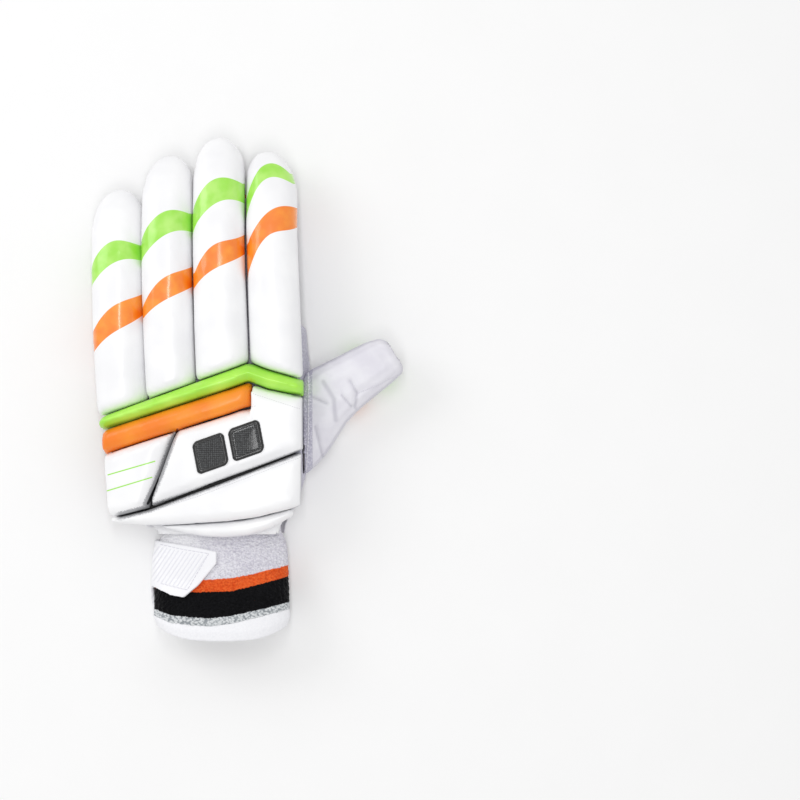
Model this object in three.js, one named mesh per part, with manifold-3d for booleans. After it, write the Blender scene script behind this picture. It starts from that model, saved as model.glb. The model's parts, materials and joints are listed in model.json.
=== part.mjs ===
// Cricket batting glove for the left hand, lying palm down on a flat surface.
// Millimetres. +X points to the thumb's side, +Y to the fingertips and +Z up from the surface.
import * as THREE from "three";
import { mergeVertices } from "three/addons/utils/BufferGeometryUtils.js";
import Module from "manifold-3d";

const wasm = await Module();
wasm.setup();

// Hand and back
const backWidth = 125; // across the four finger rolls
const backLength = 226; // wrist seam to the middle fingertip
const palmDepth = 27; // floor to the sheet under the back padding, at the knuckles
const archDrop = 12; // how far that sheet falls from the index finger to the little finger's side
const leatherWall = 1.6;
const clearance = 0.4; // between pieces that are sewn or stacked together
const patchThickness = 1.2;
const shellCorner = 4.5; // rounding along the sides of hand and finger stalls
const stallRound = 8; // length over which a finger stall rounds off at its end
const seamHeight = 6.5; // where the palm leather is sewn to the back fabric, above the floor

// Padding on the back
const rollHeight = 22;
const rollTip = 22; // length over which a roll rounds off at the fingertip
const bandHeight = 19;
const bandWidth = 10;
const chevronAngle = 20; // degrees
const orangeWidth = 13;
const panelHeight = 17;
const panelEdge = 5; // rounding along a panel's edges
const basePadHeight = 5;
const grooveWidth = 1.8;
const bottomPanelDrop = 2; // the bottom panel is this much thinner than the others
const lipHeight = 8;
const lipEdge = 3;
const badgeWidth = 19;
const badgeHeight = 1.6;
const badgeEdge = 2;

// Fingertip caps
const capWidth = 23;
const capBandWidth = 11;

// Thumb
const thumbReach = 66; // hand to thumb tip, along its own line
const thumbWidth = 28;
const thumbHeight = 25;
const thumbRise = 23; // floor to the middle of the thumb near its tip
const thumbPadThickness = 9;
const thumbPadOverhang = 2; // the pads stand out from the stall's sides by this much
const thumbPadTop = 0.92; // of thumbRise, where the pads' side edges end

// Wrist
const cuffWidth = 77;
const cuffHeight = 37;
const cuffLength = 75;
const cuffWall = 3;
const cuffSag = 8.5; // the mouth hangs lower by this at its middle than at its sides
const strapThickness = 2;
const strapEase = 0.7; // between strap and cuff
const strapStart = 16.5; // from the cuff's hidden upper end to the strap's upper edge
const strapWidth = 55.5;
const tapeThickness = 1.2;
const pipingDiameter = 2.2;
const loopHole = 13; // length of the hole in the pull loop
const loopCord = 4;

// A place on the back is a share u of its width, from the little finger's side, and a share v of its
// length, from the wrist seam.
const across = (u) => (u - 0.5) * backWidth;
const along = (v) => v * backLength;
const mix = (a, b, t) => a + (b - a) * t;
const degrees = (angle) => (angle * Math.PI) / 180;

// A smooth curve through one column of a table, against another of its columns.
function follow(table, key, column, at) {
  const last = table.length - 1;
  let i = table.findIndex((row) => row[key] > at) - 1;
  if (at <= table[0][key]) return table[0][column];
  if (at >= table[last][key]) return table[last][column];
  i = Math.max(i, 0);
  const slope = (a, b) => (table[b][column] - table[a][column]) / (table[b][key] - table[a][key]);
  const tangent = (n) => slope(Math.max(n - 1, 0), Math.min(n + 1, last));
  const span = table[i + 1][key] - table[i][key];
  const t = (at - table[i][key]) / span;
  const hermite = [
    (2 * t - 3) * t * t + 1,
    ((t - 2) * t + 1) * t * span,
    (3 - 2 * t) * t * t,
    (t - 1) * t * t * span,
  ];
  return (
    hermite[0] * table[i][column] +
    hermite[1] * tangent(i) +
    hermite[2] * table[i + 1][column] +
    hermite[3] * tangent(i + 1)
  );
}

// The sheet that all back padding is sewn to. It is highest at the knuckles, falls to the fingertips
// and curls down to the little finger's side.
const ridge = [
  { v: -0.12, lift: 0.96 },
  { v: 0.15, lift: 1.03 },
  { v: 0.42, lift: 1 },
  { v: 0.62, lift: 0.9 },
  { v: 0.8, lift: 0.73 },
  { v: 1, lift: 0.5 },
];
const archCentre = 0.8;
function sheetHeight(x, y) {
  const curl = (x / backWidth + 0.5 - archCentre) / archCentre;
  return palmDepth * follow(ridge, "v", "lift", y / backLength) - archDrop * curl * curl;
}

// Padding fans out to the little finger's side: its crown lies further out than its underside.
const fanRate = 0.6;
function onBack(x, y, rise) {
  const fan = (fanRate * (across(0.85) - x)) / backWidth;
  const placed = x + fan * (rollHeight / 2 - rise);
  return new THREE.Vector3(placed, y, sheetHeight(placed, y) + clearance / 2 + rise);
}

// Closes a body from rings of points, one ring for each section.
function loft(rings) {
  const around = rings[0].length;
  const vertices = rings.flat();
  const faces = [];
  for (let r = 0; r < rings.length - 1; r++) {
    for (let i = 0; i < around; i++) {
      const j = (i + 1) % around;
      const a = r * around + i;
      const b = r * around + j;
      faces.push(a, b, b + around, a, b + around, a + around);
    }
  }
  for (const r of [0, rings.length - 1]) {
    const centre = new THREE.Vector3();
    rings[r].forEach((p) => centre.addScaledVector(p, 1 / around));
    const hub = vertices.push(centre) - 1;
    for (let i = 0; i < around; i++) {
      const a = r * around + i;
      const b = r * around + ((i + 1) % around);
      if (r === 0) faces.push(hub, b, a);
      else faces.push(hub, a, b);
    }
  }
  return closed(vertices, faces);
}

// Closes a body between two grids of points, rows by columns, that lie over each other.
function slab(top, bottom) {
  const rows = top.length;
  const columns = top[0].length;
  const vertices = [...top.flat(), ...bottom.flat()];
  const under = rows * columns;
  const faces = [];
  const quad = (a, b, c, d) => faces.push(a, b, c, a, c, d);
  for (let r = 0; r < rows - 1; r++) {
    for (let c = 0; c < columns - 1; c++) {
      const a = r * columns + c;
      quad(a, a + 1, a + columns + 1, a + columns);
      quad(under + a + columns, under + a + columns + 1, under + a + 1, under + a);
    }
  }
  const rim = [];
  for (let c = 0; c < columns; c++) rim.push(c);
  for (let r = 1; r < rows; r++) rim.push(r * columns + columns - 1);
  for (let c = columns - 2; c >= 0; c--) rim.push((rows - 1) * columns + c);
  for (let r = rows - 2; r > 0; r--) rim.push(r * columns);
  rim.forEach((a, i) => {
    const b = rim[(i + 1) % rim.length];
    quad(b, a, under + a, under + b);
  });
  return closed(vertices, faces);
}

// A closed geometry whose faces point out.
function closed(vertices, faces) {
  let volume = 0;
  const cross = new THREE.Vector3();
  for (let i = 0; i < faces.length; i += 3) {
    const [a, b, c] = [vertices[faces[i]], vertices[faces[i + 1]], vertices[faces[i + 2]]];
    volume += a.dot(cross.crossVectors(b, c));
  }
  if (volume < 0) faces.reverse();
  const geometry = new THREE.BufferGeometry().setFromPoints(vertices);
  geometry.setIndex(faces);
  return geometry;
}

// Geometry to solid and back, for joins and cuts.
function solid(geometry) {
  geometry.deleteAttribute("normal");
  geometry.deleteAttribute("uv");
  const merged = mergeVertices(geometry, 1e-4);
  const mesh = { numProp: 3, vertProperties: merged.attributes.position.array, triVerts: merged.index.array };
  return new wasm.Manifold(new wasm.Mesh({ ...mesh, triVerts: Uint32Array.from(mesh.triVerts) }));
}
function shape(body) {
  const mesh = body.getMesh();
  const geometry = new THREE.BufferGeometry();
  geometry.setAttribute("position", new THREE.BufferAttribute(mesh.vertProperties, 3));
  geometry.setIndex(new THREE.BufferAttribute(mesh.triVerts, 1));
  return geometry;
}
function block(low, high) {
  const size = high.clone().sub(low);
  const box = new THREE.BoxGeometry(size.x, size.y, size.z);
  box.translate(...low.clone().add(high).multiplyScalar(0.5).toArray());
  return solid(box);
}

const glove = new THREE.Group();
function add(name, geometry, colour, roughness) {
  const material = new THREE.MeshStandardMaterial({ color: colour, roughness, metalness: 0 });
  geometry.computeVertexNormals();
  const mesh = new THREE.Mesh(geometry, material);
  mesh.name = name;
  glove.add(mesh);
}
const white = 0xf5f5f7;
const leatherWhite = 0xe8e7ec;
const green = 0xa5e84b;
const orange = 0xff8c28;
const black = 0x101014;
const sideGrey = 0x92939f;

// Stations along a side of the given length: fine near both ends, where the pad rounds off over the
// edge length, and even between. Each has its share of the length and how far the pad has risen there.
function stations(length, edge, between, openStart = false, openEnd = false) {
  const reach = Math.min(edge, length * 0.45) / length;
  const list = [];
  const round = [0, 0.25, 1];
  const rise = (share) => Math.sqrt(1 - (1 - share) * (1 - share));
  if (openStart) list.push({ at: 0, rise: 1 });
  else round.forEach((share) => list.push({ at: share * reach, rise: rise(share) }));
  const start = openStart ? 0 : reach;
  const end = openEnd ? 1 : 1 - reach;
  for (let i = 1; i < between; i++) list.push({ at: mix(start, end, i / between), rise: 1 });
  if (openEnd) list.push({ at: 1, rise: 1 });
  else [...round].reverse().forEach((share) => list.push({ at: 1 - share * reach, rise: rise(share) }));
  return list;
}

// A pad on the back between a lower and an upper edge. Both are functions from a share of the pad's
// length, left to right, to a place in plan. It stands on lift and is height thick at its crown.
const sideShare = 0.35; // of a pad's height is upright side, and the rest is rounded
function pad({ lower, upper, lift, height, edge = panelEdge, between = 5, inner = 2, marks = [] }) {
  const first = lower(0).distanceTo(lower(1));
  const ends = stations(first, edge, between);
  marks.forEach((at) => ends.push({ at, rise: 1 }));
  ends.sort((a, b) => a.at - b.at);
  const top = [];
  const bottom = [];
  for (const s of ends) {
    const low = lower(s.at);
    const high = upper(s.at);
    const lines = stations(low.distanceTo(high), edge, inner);
    const place = (t, rise) => onBack(mix(low.x, high.x, t), mix(low.y, high.y, t), rise);
    const crown = (t) => lift + height * mix(sideShare, 1, Math.min(s.rise, 1) * t.rise);
    top.push(lines.map((t) => place(t.at, crown(t))));
    bottom.push(lines.map((t) => place(t.at, lift)));
  }
  return slab(top, bottom);
}
const plan = (u, v) => new THREE.Vector2(across(u), along(v));
const onLine = (rows) => (share) =>
  new THREE.Vector2(follow(rows, "at", "x", share), follow(rows, "at", "y", share));

// Sleeves for hand and fingers. A section's edges give its left and right side at the palm (low) and
// at the back (high) as places in x. The inset makes the inside of a wall.
const palmLift = patchThickness + clearance;
const fingerLift = [
  { v: 0.45, lift: 0 },
  { v: 0.6, lift: 0.06 },
  { v: 0.72, lift: 0.06 },
  { v: 0.86, lift: 0 },
];
function sleeveRing(y, edges, inset, size = 1, columns = 5) {
  const floor = palmLift + palmDepth * follow(fingerLift, "v", "lift", y / backLength) + inset;
  const roof = (x) => sheetHeight(x, y) - clearance / 2 - inset;
  const corner = Math.max(shellCorner - inset, 1);
  const soft = corner * (1 - Math.SQRT1_2);
  const bend = [
    [0, corner],
    [soft, soft],
    [corner, 0],
  ];
  const sides = {
    left: { low: edges.leftLow + inset, high: edges.leftHigh + inset, inward: 1 },
    right: { low: edges.rightLow - inset, high: edges.rightHigh - inset, inward: -1 },
  };
  const point = (name, dx, dz, fromRoof) => {
    const side = sides[name];
    const tall = roof(side.high) - floor;
    const share = fromRoof ? 1 - dz / tall : dz / tall;
    const x = mix(side.low, side.high, share) + side.inward * dx;
    return new THREE.Vector3(x, y, fromRoof ? roof(x) - dz : floor + dz);
  };
  const ring = bend.map(([dx, dz]) => point("left", dx, dz, false));
  ring.push(...[...bend].reverse().map(([dx, dz]) => point("right", dx, dz, false)));
  ring.push(...bend.map(([dx, dz]) => point("right", dx, dz, true)));
  for (let i = columns - 1; i > 0; i--) {
    const x = mix(sides.left.high, sides.right.high, i / columns);
    ring.push(new THREE.Vector3(x, y, roof(x)));
  }
  ring.push(...[...bend].reverse().map(([dx, dz]) => point("left", dx, dz, true)));
  const middle = new THREE.Vector3();
  ring.forEach((p) => middle.addScaledVector(p, 1 / ring.length));
  return ring.map((p) => new THREE.Vector3(mix(middle.x, p.x, size), y, mix(middle.z, p.z, size)));
}

// The hand, from wrist to finger crotches.
const handEdges = [
  { v: -0.024, leftLow: 0.315, leftHigh: 0.31, rightLow: 0.93, rightHigh: 0.925 },
  { v: 0.02, leftLow: 0.3, leftHigh: 0.22, rightLow: 0.95, rightHigh: 0.935 },
  { v: 0.07, leftLow: 0.28, leftHigh: 0.14, rightLow: 0.978, rightHigh: 0.955 },
  { v: 0.15, leftLow: 0.26, leftHigh: 0.1, rightLow: 1.02, rightHigh: 0.985 },
  { v: 0.24, leftLow: 0.23, leftHigh: 0.085, rightLow: 1.036, rightHigh: 0.99 },
  { v: 0.34, leftLow: 0.205, leftHigh: 0.08, rightLow: 1.034, rightHigh: 0.99 },
  { v: 0.42, leftLow: 0.19, leftHigh: 0.08, rightLow: 1.028, rightHigh: 0.985 },
  { v: 0.51, leftLow: 0.18, leftHigh: 0.08, rightLow: 1.01, rightHigh: 0.98 },
];
function handSection(v) {
  const edge = (column) => across(follow(handEdges, "v", column, v));
  const names = ["leftLow", "leftHigh", "rightLow", "rightHigh"];
  return Object.fromEntries(names.map((name) => [name, edge(name)]));
}
const handSteps = 7;
function handBody(inset, start = handEdges[0].v) {
  const end = handEdges[handEdges.length - 1].v - inset / backLength;
  const rings = [];
  for (let i = 0; i <= handSteps; i++) {
    const v = mix(start, end, i / handSteps);
    rings.push(sleeveRing(along(v), handSection(v), inset));
  }
  return solid(loft(rings));
}

// The fingers. Shares of the back: the stall's middle at the palm and at the back, at the crotch
// (Base) and at its tip (Tip), where the stall and the roll end, and where the fingertip cap lies.
const fingers = [
  { name: "little", palmBase: 0.284, palmTip: 0.264, backBase: 0.182, backTip: 0.188, stall: 0.705, tip: 0.867,
    lean: 0.01, capBase: 0.218, capTip: 0.14 },
  { name: "ring", palmBase: 0.4975, palmTip: 0.4387, backBase: 0.42, backTip: 0.4, stall: 0.81, tip: 0.954,
    lean: 0.012, capBase: 0.395, capTip: 0.35 },
  { name: "middle", palmBase: 0.694, palmTip: 0.643, backBase: 0.652, backTip: 0.628, stall: 0.86, tip: 1,
    lean: 0, capBase: 0.63, capTip: 0.605 },
  { name: "index", palmBase: 0.894, palmTip: 0.857, backBase: 0.88, backTip: 0.862, stall: 0.812, tip: 0.9636,
    lean: -0.022, capBase: 0.85, capTip: 0.828 },
];
const stallWide = 0.196; // of the back's width, at the crotch
const stallNarrow = 0.176; // at the tip
const stallStart = 0.44;
const stallRounding = [
  { share: 1, size: 1 },
  { share: 0.375, size: 0.9 },
  { share: 0, size: 0.56 },
];
function stallSection(finger, v) {
  const t = (v - stallStart) / (finger.stall - stallStart);
  const half = (mix(stallWide, stallNarrow, t) * backWidth) / 2;
  const low = across(mix(finger.palmBase, finger.palmTip, t));
  const high = across(mix(finger.backBase, finger.backTip, t));
  return { leftLow: low - half, leftHigh: high - half, rightLow: low + half, rightHigh: high + half };
}
function stall(finger, inset) {
  const last = along(finger.stall) - inset;
  const firstRound = last - stallRounding[0].share * stallRound;
  const places = [0, 1, 2].map((i) => ({ y: mix(along(stallStart), firstRound, i / 3), size: 1 }));
  stallRounding.forEach(({ share, size }) => places.push({ y: last - share * stallRound, size }));
  return solid(
    loft(places.map(({ y, size }) => sleeveRing(y, stallSection(finger, y / backLength), inset, size, 2))),
  );
}
function sleeves(inset, start) {
  return fingers.reduce((body, finger) => body.add(stall(finger, inset)), handBody(inset, start));
}

// The thumb: sections along its own line, which leaves the hand's side and rises towards its tip.
// Places are shares of its reach from the hand's side, sizes shares of its width and height.
const thumbRoot = plan(1.028, 0.2655);
const thumbTurn = degrees(34);
const thumbRows = [
  { at: -0.45, aside: 0.015, wide: 1.7, tall: 0.78, lift: 0.62 },
  { at: -0.25, aside: 0.02, wide: 1.77, tall: 0.82, lift: 0.63 },
  { at: -0.09, aside: 0.035, wide: 1.69, tall: 0.86, lift: 0.65 },
  { at: 0.095, aside: 0.064, wide: 1.49, tall: 0.93, lift: 0.7 },
  { at: 0.267, aside: 0.103, wide: 1.22, tall: 1, lift: 0.79 },
  { at: 0.45, aside: 0.107, wide: 1.07, tall: 1.02, lift: 0.88 },
  { at: 0.66, aside: 0.105, wide: 0.96, tall: 1, lift: 0.96 },
  { at: 0.8, aside: 0.1, wide: 0.88, tall: 0.94, lift: 1 },
  { at: 0.91, aside: 0.09, wide: 0.74, tall: 0.78, lift: 1.01 },
  { at: 0.97, aside: 0.088, wide: 0.48, tall: 0.54, lift: 1.01 },
  { at: 1, aside: 0.088, wide: 0.16, tall: 0.2, lift: 1.01 },
];
const thumbSides = 14;
function thumbRing(at, inset, { sink = 0, widen = 0 } = {}) {
  const value = (column) => follow(thumbRows, "at", column, at);
  const line = new THREE.Vector2(Math.cos(thumbTurn), Math.sin(thumbTurn));
  const side = new THREE.Vector2(-line.y, line.x);
  const centre = thumbRoot
    .clone()
    .addScaledVector(line, at * thumbReach)
    .addScaledVector(side, value("aside") * thumbReach);
  const half = Math.max((value("wide") * thumbWidth) / 2 - inset + widen, 0.5);
  const tall = Math.max((value("tall") * thumbHeight) / 2 - inset, 0.5);
  const ring = [];
  for (let i = 0; i < thumbSides; i++) {
    const turn = (i / thumbSides) * 2 * Math.PI;
    const soften = (n) => Math.sign(n) * Math.abs(n) ** 0.84;
    const out = half * soften(Math.cos(turn));
    const up = tall * soften(Math.sin(turn));
    const z = value("lift") * thumbRise + up - (up < 0 ? sink : 0);
    ring.push(new THREE.Vector3(centre.x + side.x * out, centre.y + side.y * out, z));
  }
  return ring;
}
function thumb(inset, from, to, more) {
  const rings = [];
  const count = Math.max(Math.ceil((to - from) * 9), 3);
  for (let i = 0; i <= count; i++) rings.push(thumbRing(mix(from, to, i / count), inset, more));
  return solid(loft(rings));
}

// Hand and finger walls, parted at the seam into the palm leather and the back fabric.
const outer = sleeves(0);
const inner = sleeves(leatherWall, handEdges[0].v - 0.02);
const thumbTipInside = 1 - (2 * leatherWall) / thumbReach;
const thumbHollow = thumb(leatherWall, thumbRows[0].at, thumbTipInside);
const walls = outer.subtract(inner).subtract(thumbHollow);
const far = 3 * backLength;
const corner = (x, y, z) => new THREE.Vector3(x * far, y * far, z);
const belowSeam = block(corner(-1, -1, -far), corner(1, 1, seamHeight));
const aboveSeam = block(corner(-1, -1, seamHeight + clearance), corner(1, 1, far));
add("palm_leather", shape(walls.intersect(belowSeam)), leatherWhite, 0.55);
add("back_fabric", shape(walls.intersect(aboveSeam)), 0xd9d9de, 0.9);

// Thumb stall, cut to the hand's side.
const besideHand = sleeves(-clearance);
const thumbLeather = thumb(0, thumbRows[0].at, 1).subtract(thumbHollow).subtract(besideHand);
add("thumb_leather", shape(largest(thumbLeather)), 0xe1e0e6, 0.6);

// Thumb padding: two pads under the stall, from its side to the floor.
const aboveFloor = block(corner(-1, -1, 0), corner(1, 1, far));
const thumbRoom = thumb(-clearance, thumbRows[0].at, 1);
const thumbPads = [
  { name: "thumb_base_pad", from: 0, to: 0.44 },
  { name: "thumb_tip_pad", from: 0.455, to: 0.98 },
];
const underHand = block(corner(-1, -1, -far), new THREE.Vector3(thumbRoot.x + clearance, far, far));
for (const { name, from, to } of thumbPads) {
  const whole = thumb(0, from, to, { sink: thumbPadThickness, widen: thumbPadOverhang });
  const half = block(corner(-1, -1, 0), corner(1, 1, thumbRise * thumbPadTop));
  const padding = whole.subtract(thumbRoom).intersect(half).intersect(aboveFloor).subtract(underHand);
  add(name, shape(largest(padding)), white, 0.35);
}
function largest(body) {
  const parts = body.decompose();
  return parts.reduce((a, b) => (a.volume() > b.volume() ? a : b));
}

// Finger rolls, each between two seams. A seam's place leans from the fingertips to the knuckles.
const seams = [
  { top: 0, base: 0.025 },
  { top: 0.2338, base: 0.2537 },
  { top: 0.472, base: 0.488 },
  { top: 0.722, base: 0.7424 },
  { top: 0.9707, base: 1 },
];
const chevronPeak = plan(0.7407, 0.4185);
const chevron = (x) => chevronPeak.y - Math.abs(x - chevronPeak.x) * Math.tan(degrees(chevronAngle));
const rollEnds = [
  { at: 0, size: 0.72 },
  { at: 0.012, size: 0.9 },
  { at: 0.035, size: 1 },
];
const rollHeights = [
  { at: 0, rise: 0.9 },
  { at: 0.3, rise: 1 },
  { at: 0.7, rise: 0.96 },
  { at: 1, rise: 0.82 },
];
const rollAround = 10;
const seamLean = { from: 0.4, over: 0.35 }; // shares of the back's length along which a seam leans
const rollHeart = 0.38; // of a roll's height, where its end closes
const rollSide = 0.16; // of its height, the foot below its round
const domeTurns = [28, 50, 68, 83]; // degrees
function roll(index) {
  const finger = fingers[index];
  const tip = along(finger.tip);
  const seamAt = (seam, y) => {
    const t = Math.min((y / backLength - seamLean.from) / seamLean.over, 1);
    return across(mix(seam.base, seam.top, t));
  };
  const middle = (seamAt(seams[index], tip) + seamAt(seams[index + 1], tip)) / 2;
  const start = chevron(middle) + clearance;
  const shares = [...rollEnds];
  const straight = 1 - rollTip / (tip - start);
  for (let i = 1; i <= 4; i++) shares.push({ at: mix(rollEnds[2].at, straight, i / 4), size: 1 });
  for (const turn of domeTurns) {
    const t = Math.sin(degrees(turn));
    shares.push({ at: mix(straight, 1, t), size: Math.cos(degrees(turn)) });
  }
  const rings = shares.map(({ at, size }) => {
    const dome = at > straight ? (at - straight) / (1 - straight) : 0;
    const ring = [];
    const tall = rollHeight * follow(rollHeights, "at", "rise", at);
    const heart = tall * rollHeart;
    const put = (side, rise) => {
      const guess = mix(start, tip, at);
      const left = seamAt(seams[index], guess) + clearance / 2;
      const right = seamAt(seams[index + 1], guess) - clearance / 2;
      const centre = (left + right) / 2 + dome * finger.lean * backWidth;
      const half = ((right - left) / 2) * (dome > 0 ? size : 1);
      const x = centre + side * half;
      const slanted = mix(chevron(x) + clearance, tip, at);
      const vertical = dome > 0 ? mix(heart, rise * tall, size) : rise * tall * (rise > 0.4 ? size : 1);
      ring.push(onBack(x, slanted, vertical));
    };
    for (const side of [-0.86, -0.43, 0, 0.43, 0.86]) put(side, 0);
    for (let i = 0; i <= rollAround; i++) {
      const turn = (i / rollAround) * Math.PI;
      const soften = (n, power) => Math.sign(n) * Math.abs(n) ** power;
      put(soften(Math.cos(turn), 0.72), mix(rollSide, 1, soften(Math.sin(turn), 0.78)));
    }
    return ring;
  });
  return loft(rings);
}
fingers.forEach((finger, index) => add(`roll_${finger.name}`, roll(index), white, 0.3));

// Fingertip caps under the ends of the rolls, each a dome and the band that joins it to the leather.
const capRounding = [
  { at: 0, size: 1 },
  { at: 0.45, size: 0.96 },
  { at: 0.75, size: 0.78 },
  { at: 0.93, size: 0.5 },
  { at: 1, size: 0.22 },
];
function capRing(finger, y, size, narrow) {
  const start = along(finger.stall) + clearance;
  const t = (y - start) / (along(finger.tip) - start);
  const centre = across(mix(finger.capBase, finger.capTip, t));
  const half = (capWidth / 2) * narrow;
  const ring = [];
  const sides = 12;
  for (let i = 0; i < sides; i++) {
    const turn = (i / sides) * 2 * Math.PI;
    const soften = (n) => Math.sign(n) * Math.abs(n) ** 0.75;
    const x = centre + half * size * soften(Math.cos(turn));
    const roof = sheetHeight(x, y) - clearance / 2;
    const share = 0.5 + 0.5 * size * soften(Math.sin(turn));
    ring.push(new THREE.Vector3(x, y, roof * share));
  }
  return ring;
}
const bandSwell = 1.04;
for (const finger of fingers) {
  const start = along(finger.stall) + clearance;
  const seam = start + capBandWidth;
  const end = along(finger.tip) - rollTip * 0.12;
  const bandRings = [0, 0.3, 0.7, 1].map((t) => {
    const swell = t === 0 || t === 1 ? 0.97 : bandSwell;
    return capRing(finger, mix(start, seam, t), 0.98, swell);
  });
  add(`cap_band_${finger.name}`, loft(bandRings), white, 0.5);
  const domeRings = capRounding.map(({ at, size }) => capRing(finger, mix(seam + clearance, end, at), size, 1));
  add(`cap_${finger.name}`, loft(domeRings), white, 0.4);
}

// Knuckle band: a padded chevron below the rolls.
const bandLeft = 0.045;
const bandRight = 1;
const bandDrop = bandWidth / Math.cos(degrees(chevronAngle));
const peakShare = (chevronPeak.x - across(bandLeft)) / (across(bandRight) - across(bandLeft));
const slantedLine = (from, to, drop) => (share) => {
  const x = mix(from, to, share);
  return new THREE.Vector2(x, chevron(x) - drop);
};
const knuckleBand = pad({
  lower: slantedLine(across(bandLeft), across(bandRight), bandDrop + clearance),
  upper: slantedLine(across(bandLeft), across(bandRight), clearance / 2),
  lift: 0,
  height: bandHeight,
  edge: bandWidth / 2,
  between: 6,
  inner: 1,
  marks: [peakShare],
});
add("knuckle_band", knuckleBand, green, 0.3);

// The grey layer under the panels, from the band to the wrist seam.
const wristSeam = [
  { at: 0, u: 0.1, v: 0.008 },
  { at: 0.25, u: 0.27, v: 0.0 },
  { at: 0.5, u: 0.51, v: 0.005 },
  { at: 0.78, u: 0.75, v: 0.018 },
  { at: 1, u: 0.985, v: 0.05 },
].map((row) => ({ at: row.at, x: across(row.u), y: along(row.v) }));
const underBand = bandDrop + 2 * clearance;
const basePad = pad({
  lower: onLine(wristSeam),
  upper: (share) => {
    const x = mix(across(0.062), across(0.985), share);
    return new THREE.Vector2(x, chevron(x) - underBand);
  },
  lift: 0,
  height: basePadHeight,
  edge: 1,
  between: 6,
  inner: 3,
});
add("base_pad", basePad, sideGrey, 0.6);

// Orange panel along the band's left arm.
const onBase = basePadHeight + clearance;
const orangeDrop = orangeWidth / Math.cos(degrees(chevronAngle));
const orangeLeft = across(0.06);
const orangeRight = across(0.755);
const thickness = panelHeight - onBase;
const orangePanel = pad({
  lower: slantedLine(orangeLeft, orangeRight, underBand + orangeDrop),
  upper: slantedLine(orangeLeft, orangeRight, underBand),
  lift: onBase,
  height: thickness,
  between: 6,
  inner: 1,
});
add("orange_panel", orangePanel, orange, 0.32);

// White panels below it, parted by a slanting groove and by one along the bottom.
const panelTop = underBand + orangeDrop + clearance;
const grooveTop = plan(0.405, 0.2385);
const grooveFoot = plan(0.274, 0.05);
const footLine = (x) => mix(along(0.0452), along(0.1884), (x - across(0.2807)) / (across(0.975) - across(0.2807)));
const halfGroove = grooveWidth / 2;
const leftPanel = pad({
  lower: (share) => {
    const x = mix(across(0.09), grooveFoot.x - halfGroove, share);
    return new THREE.Vector2(x, Math.max(footLine(x), along(0.022)) + halfGroove);
  },
  upper: (share) => {
    const x = mix(across(0.06), grooveTop.x - halfGroove, share);
    return new THREE.Vector2(x, chevron(x) - panelTop);
  },
  lift: onBase,
  height: thickness,
  between: 3,
  inner: 3,
});
add("left_panel", leftPanel, white, 0.32);
const stepX = orangeRight + clearance;
const centreRight = across(0.995);
const centrePanel = pad({
  lower: (share) => {
    const x = mix(grooveFoot.x + halfGroove, centreRight, share);
    return new THREE.Vector2(x, footLine(x) + halfGroove);
  },
  upper: (share) => {
    const x = mix(grooveTop.x + halfGroove, centreRight, share);
    const drop = x > stepX ? underBand : panelTop;
    return new THREE.Vector2(x, chevron(x) - drop);
  },
  lift: onBase,
  height: thickness,
  between: 6,
  inner: 3,
  marks: [-0.001, 0.006].map((nudge) => {
    const start = grooveTop.x + halfGroove;
    return (stepX - start) / (centreRight - start) + nudge;
  }),
});
add("centre_panel", centrePanel, white, 0.32);
const bottomPanel = pad({
  lower: onLine(wristSeam),
  upper: (share) => {
    const x = mix(across(0.1), across(0.99), share);
    return new THREE.Vector2(x, Math.max(footLine(x), along(0.024)) - halfGroove);
  },
  lift: onBase,
  height: thickness - bottomPanelDrop,
  between: 6,
  inner: 2,
});
add("bottom_panel", bottomPanel, white, 0.32);

// Plain raised blocks on the centre panel.
const badgeTurn = degrees(20);
const badgeCentres = [plan(0.575, 0.186), plan(0.735, 0.219)];
badgeCentres.forEach((centre, index) => {
  const corners = (side, up) => {
    const out = new THREE.Vector2((side * badgeWidth) / 2 + (up * badgeWidth) / 12, (up * badgeWidth) / 2);
    return out.rotateAround(new THREE.Vector2(), badgeTurn).add(centre);
  };
  const badge = pad({
    lower: (share) => corners(mix(-1, 1, share), -1),
    upper: (share) => corners(mix(-1, 1, share), 1),
    lift: panelHeight + clearance,
    height: badgeHeight,
    edge: badgeEdge,
    between: 1,
    inner: 1,
  });
  add(`badge_block_${index + 1}`, badge, black, 0.35);
});

// White lip below the wrist seam, over the cuff.
const lipRows = [
  { at: 0, u: 0.33, v: -0.008 },
  { at: 0.25, u: 0.47, v: -0.027 },
  { at: 0.5, u: 0.63, v: -0.0335 },
  { at: 0.75, u: 0.8, v: -0.02 },
  { at: 1, u: 0.95, v: 0.022 },
].map((row) => ({ at: row.at, x: across(row.u), y: along(row.v) }));
const lip = pad({
  lower: onLine(lipRows),
  upper: (share) => {
    const seam = onLine(wristSeam)(mix(0.3, 0.97, share));
    return seam.setY(seam.y - clearance);
  },
  lift: 0,
  height: lipHeight,
  edge: lipEdge,
  between: 6,
  inner: 1,
});
add("wrist_lip", lip, white, 0.35);

// Reinforcement on the palm, by the thumb, flat on the floor side.
const patchRows = [
  { u: 0.685, v: 0.5 },
  { u: 0.688, v: 0.3 },
  { u: 0.69, v: 0.16 },
  { u: 0.715, v: 0.07 },
  { u: 0.77, v: 0.035 },
  { u: 0.86, v: 0.03 },
  { u: 0.92, v: 0.06 },
  { u: 0.955, v: 0.13 },
  { u: 0.96, v: 0.3 },
  { u: 0.95, v: 0.5 },
];
const patchShape = new THREE.Shape(patchRows.map(({ u, v }) => plan(u, v)));
const patch = new THREE.ExtrudeGeometry(patchShape, { depth: patchThickness, bevelEnabled: false });
add("palm_patch", patch, leatherWhite, 0.5);

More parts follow.
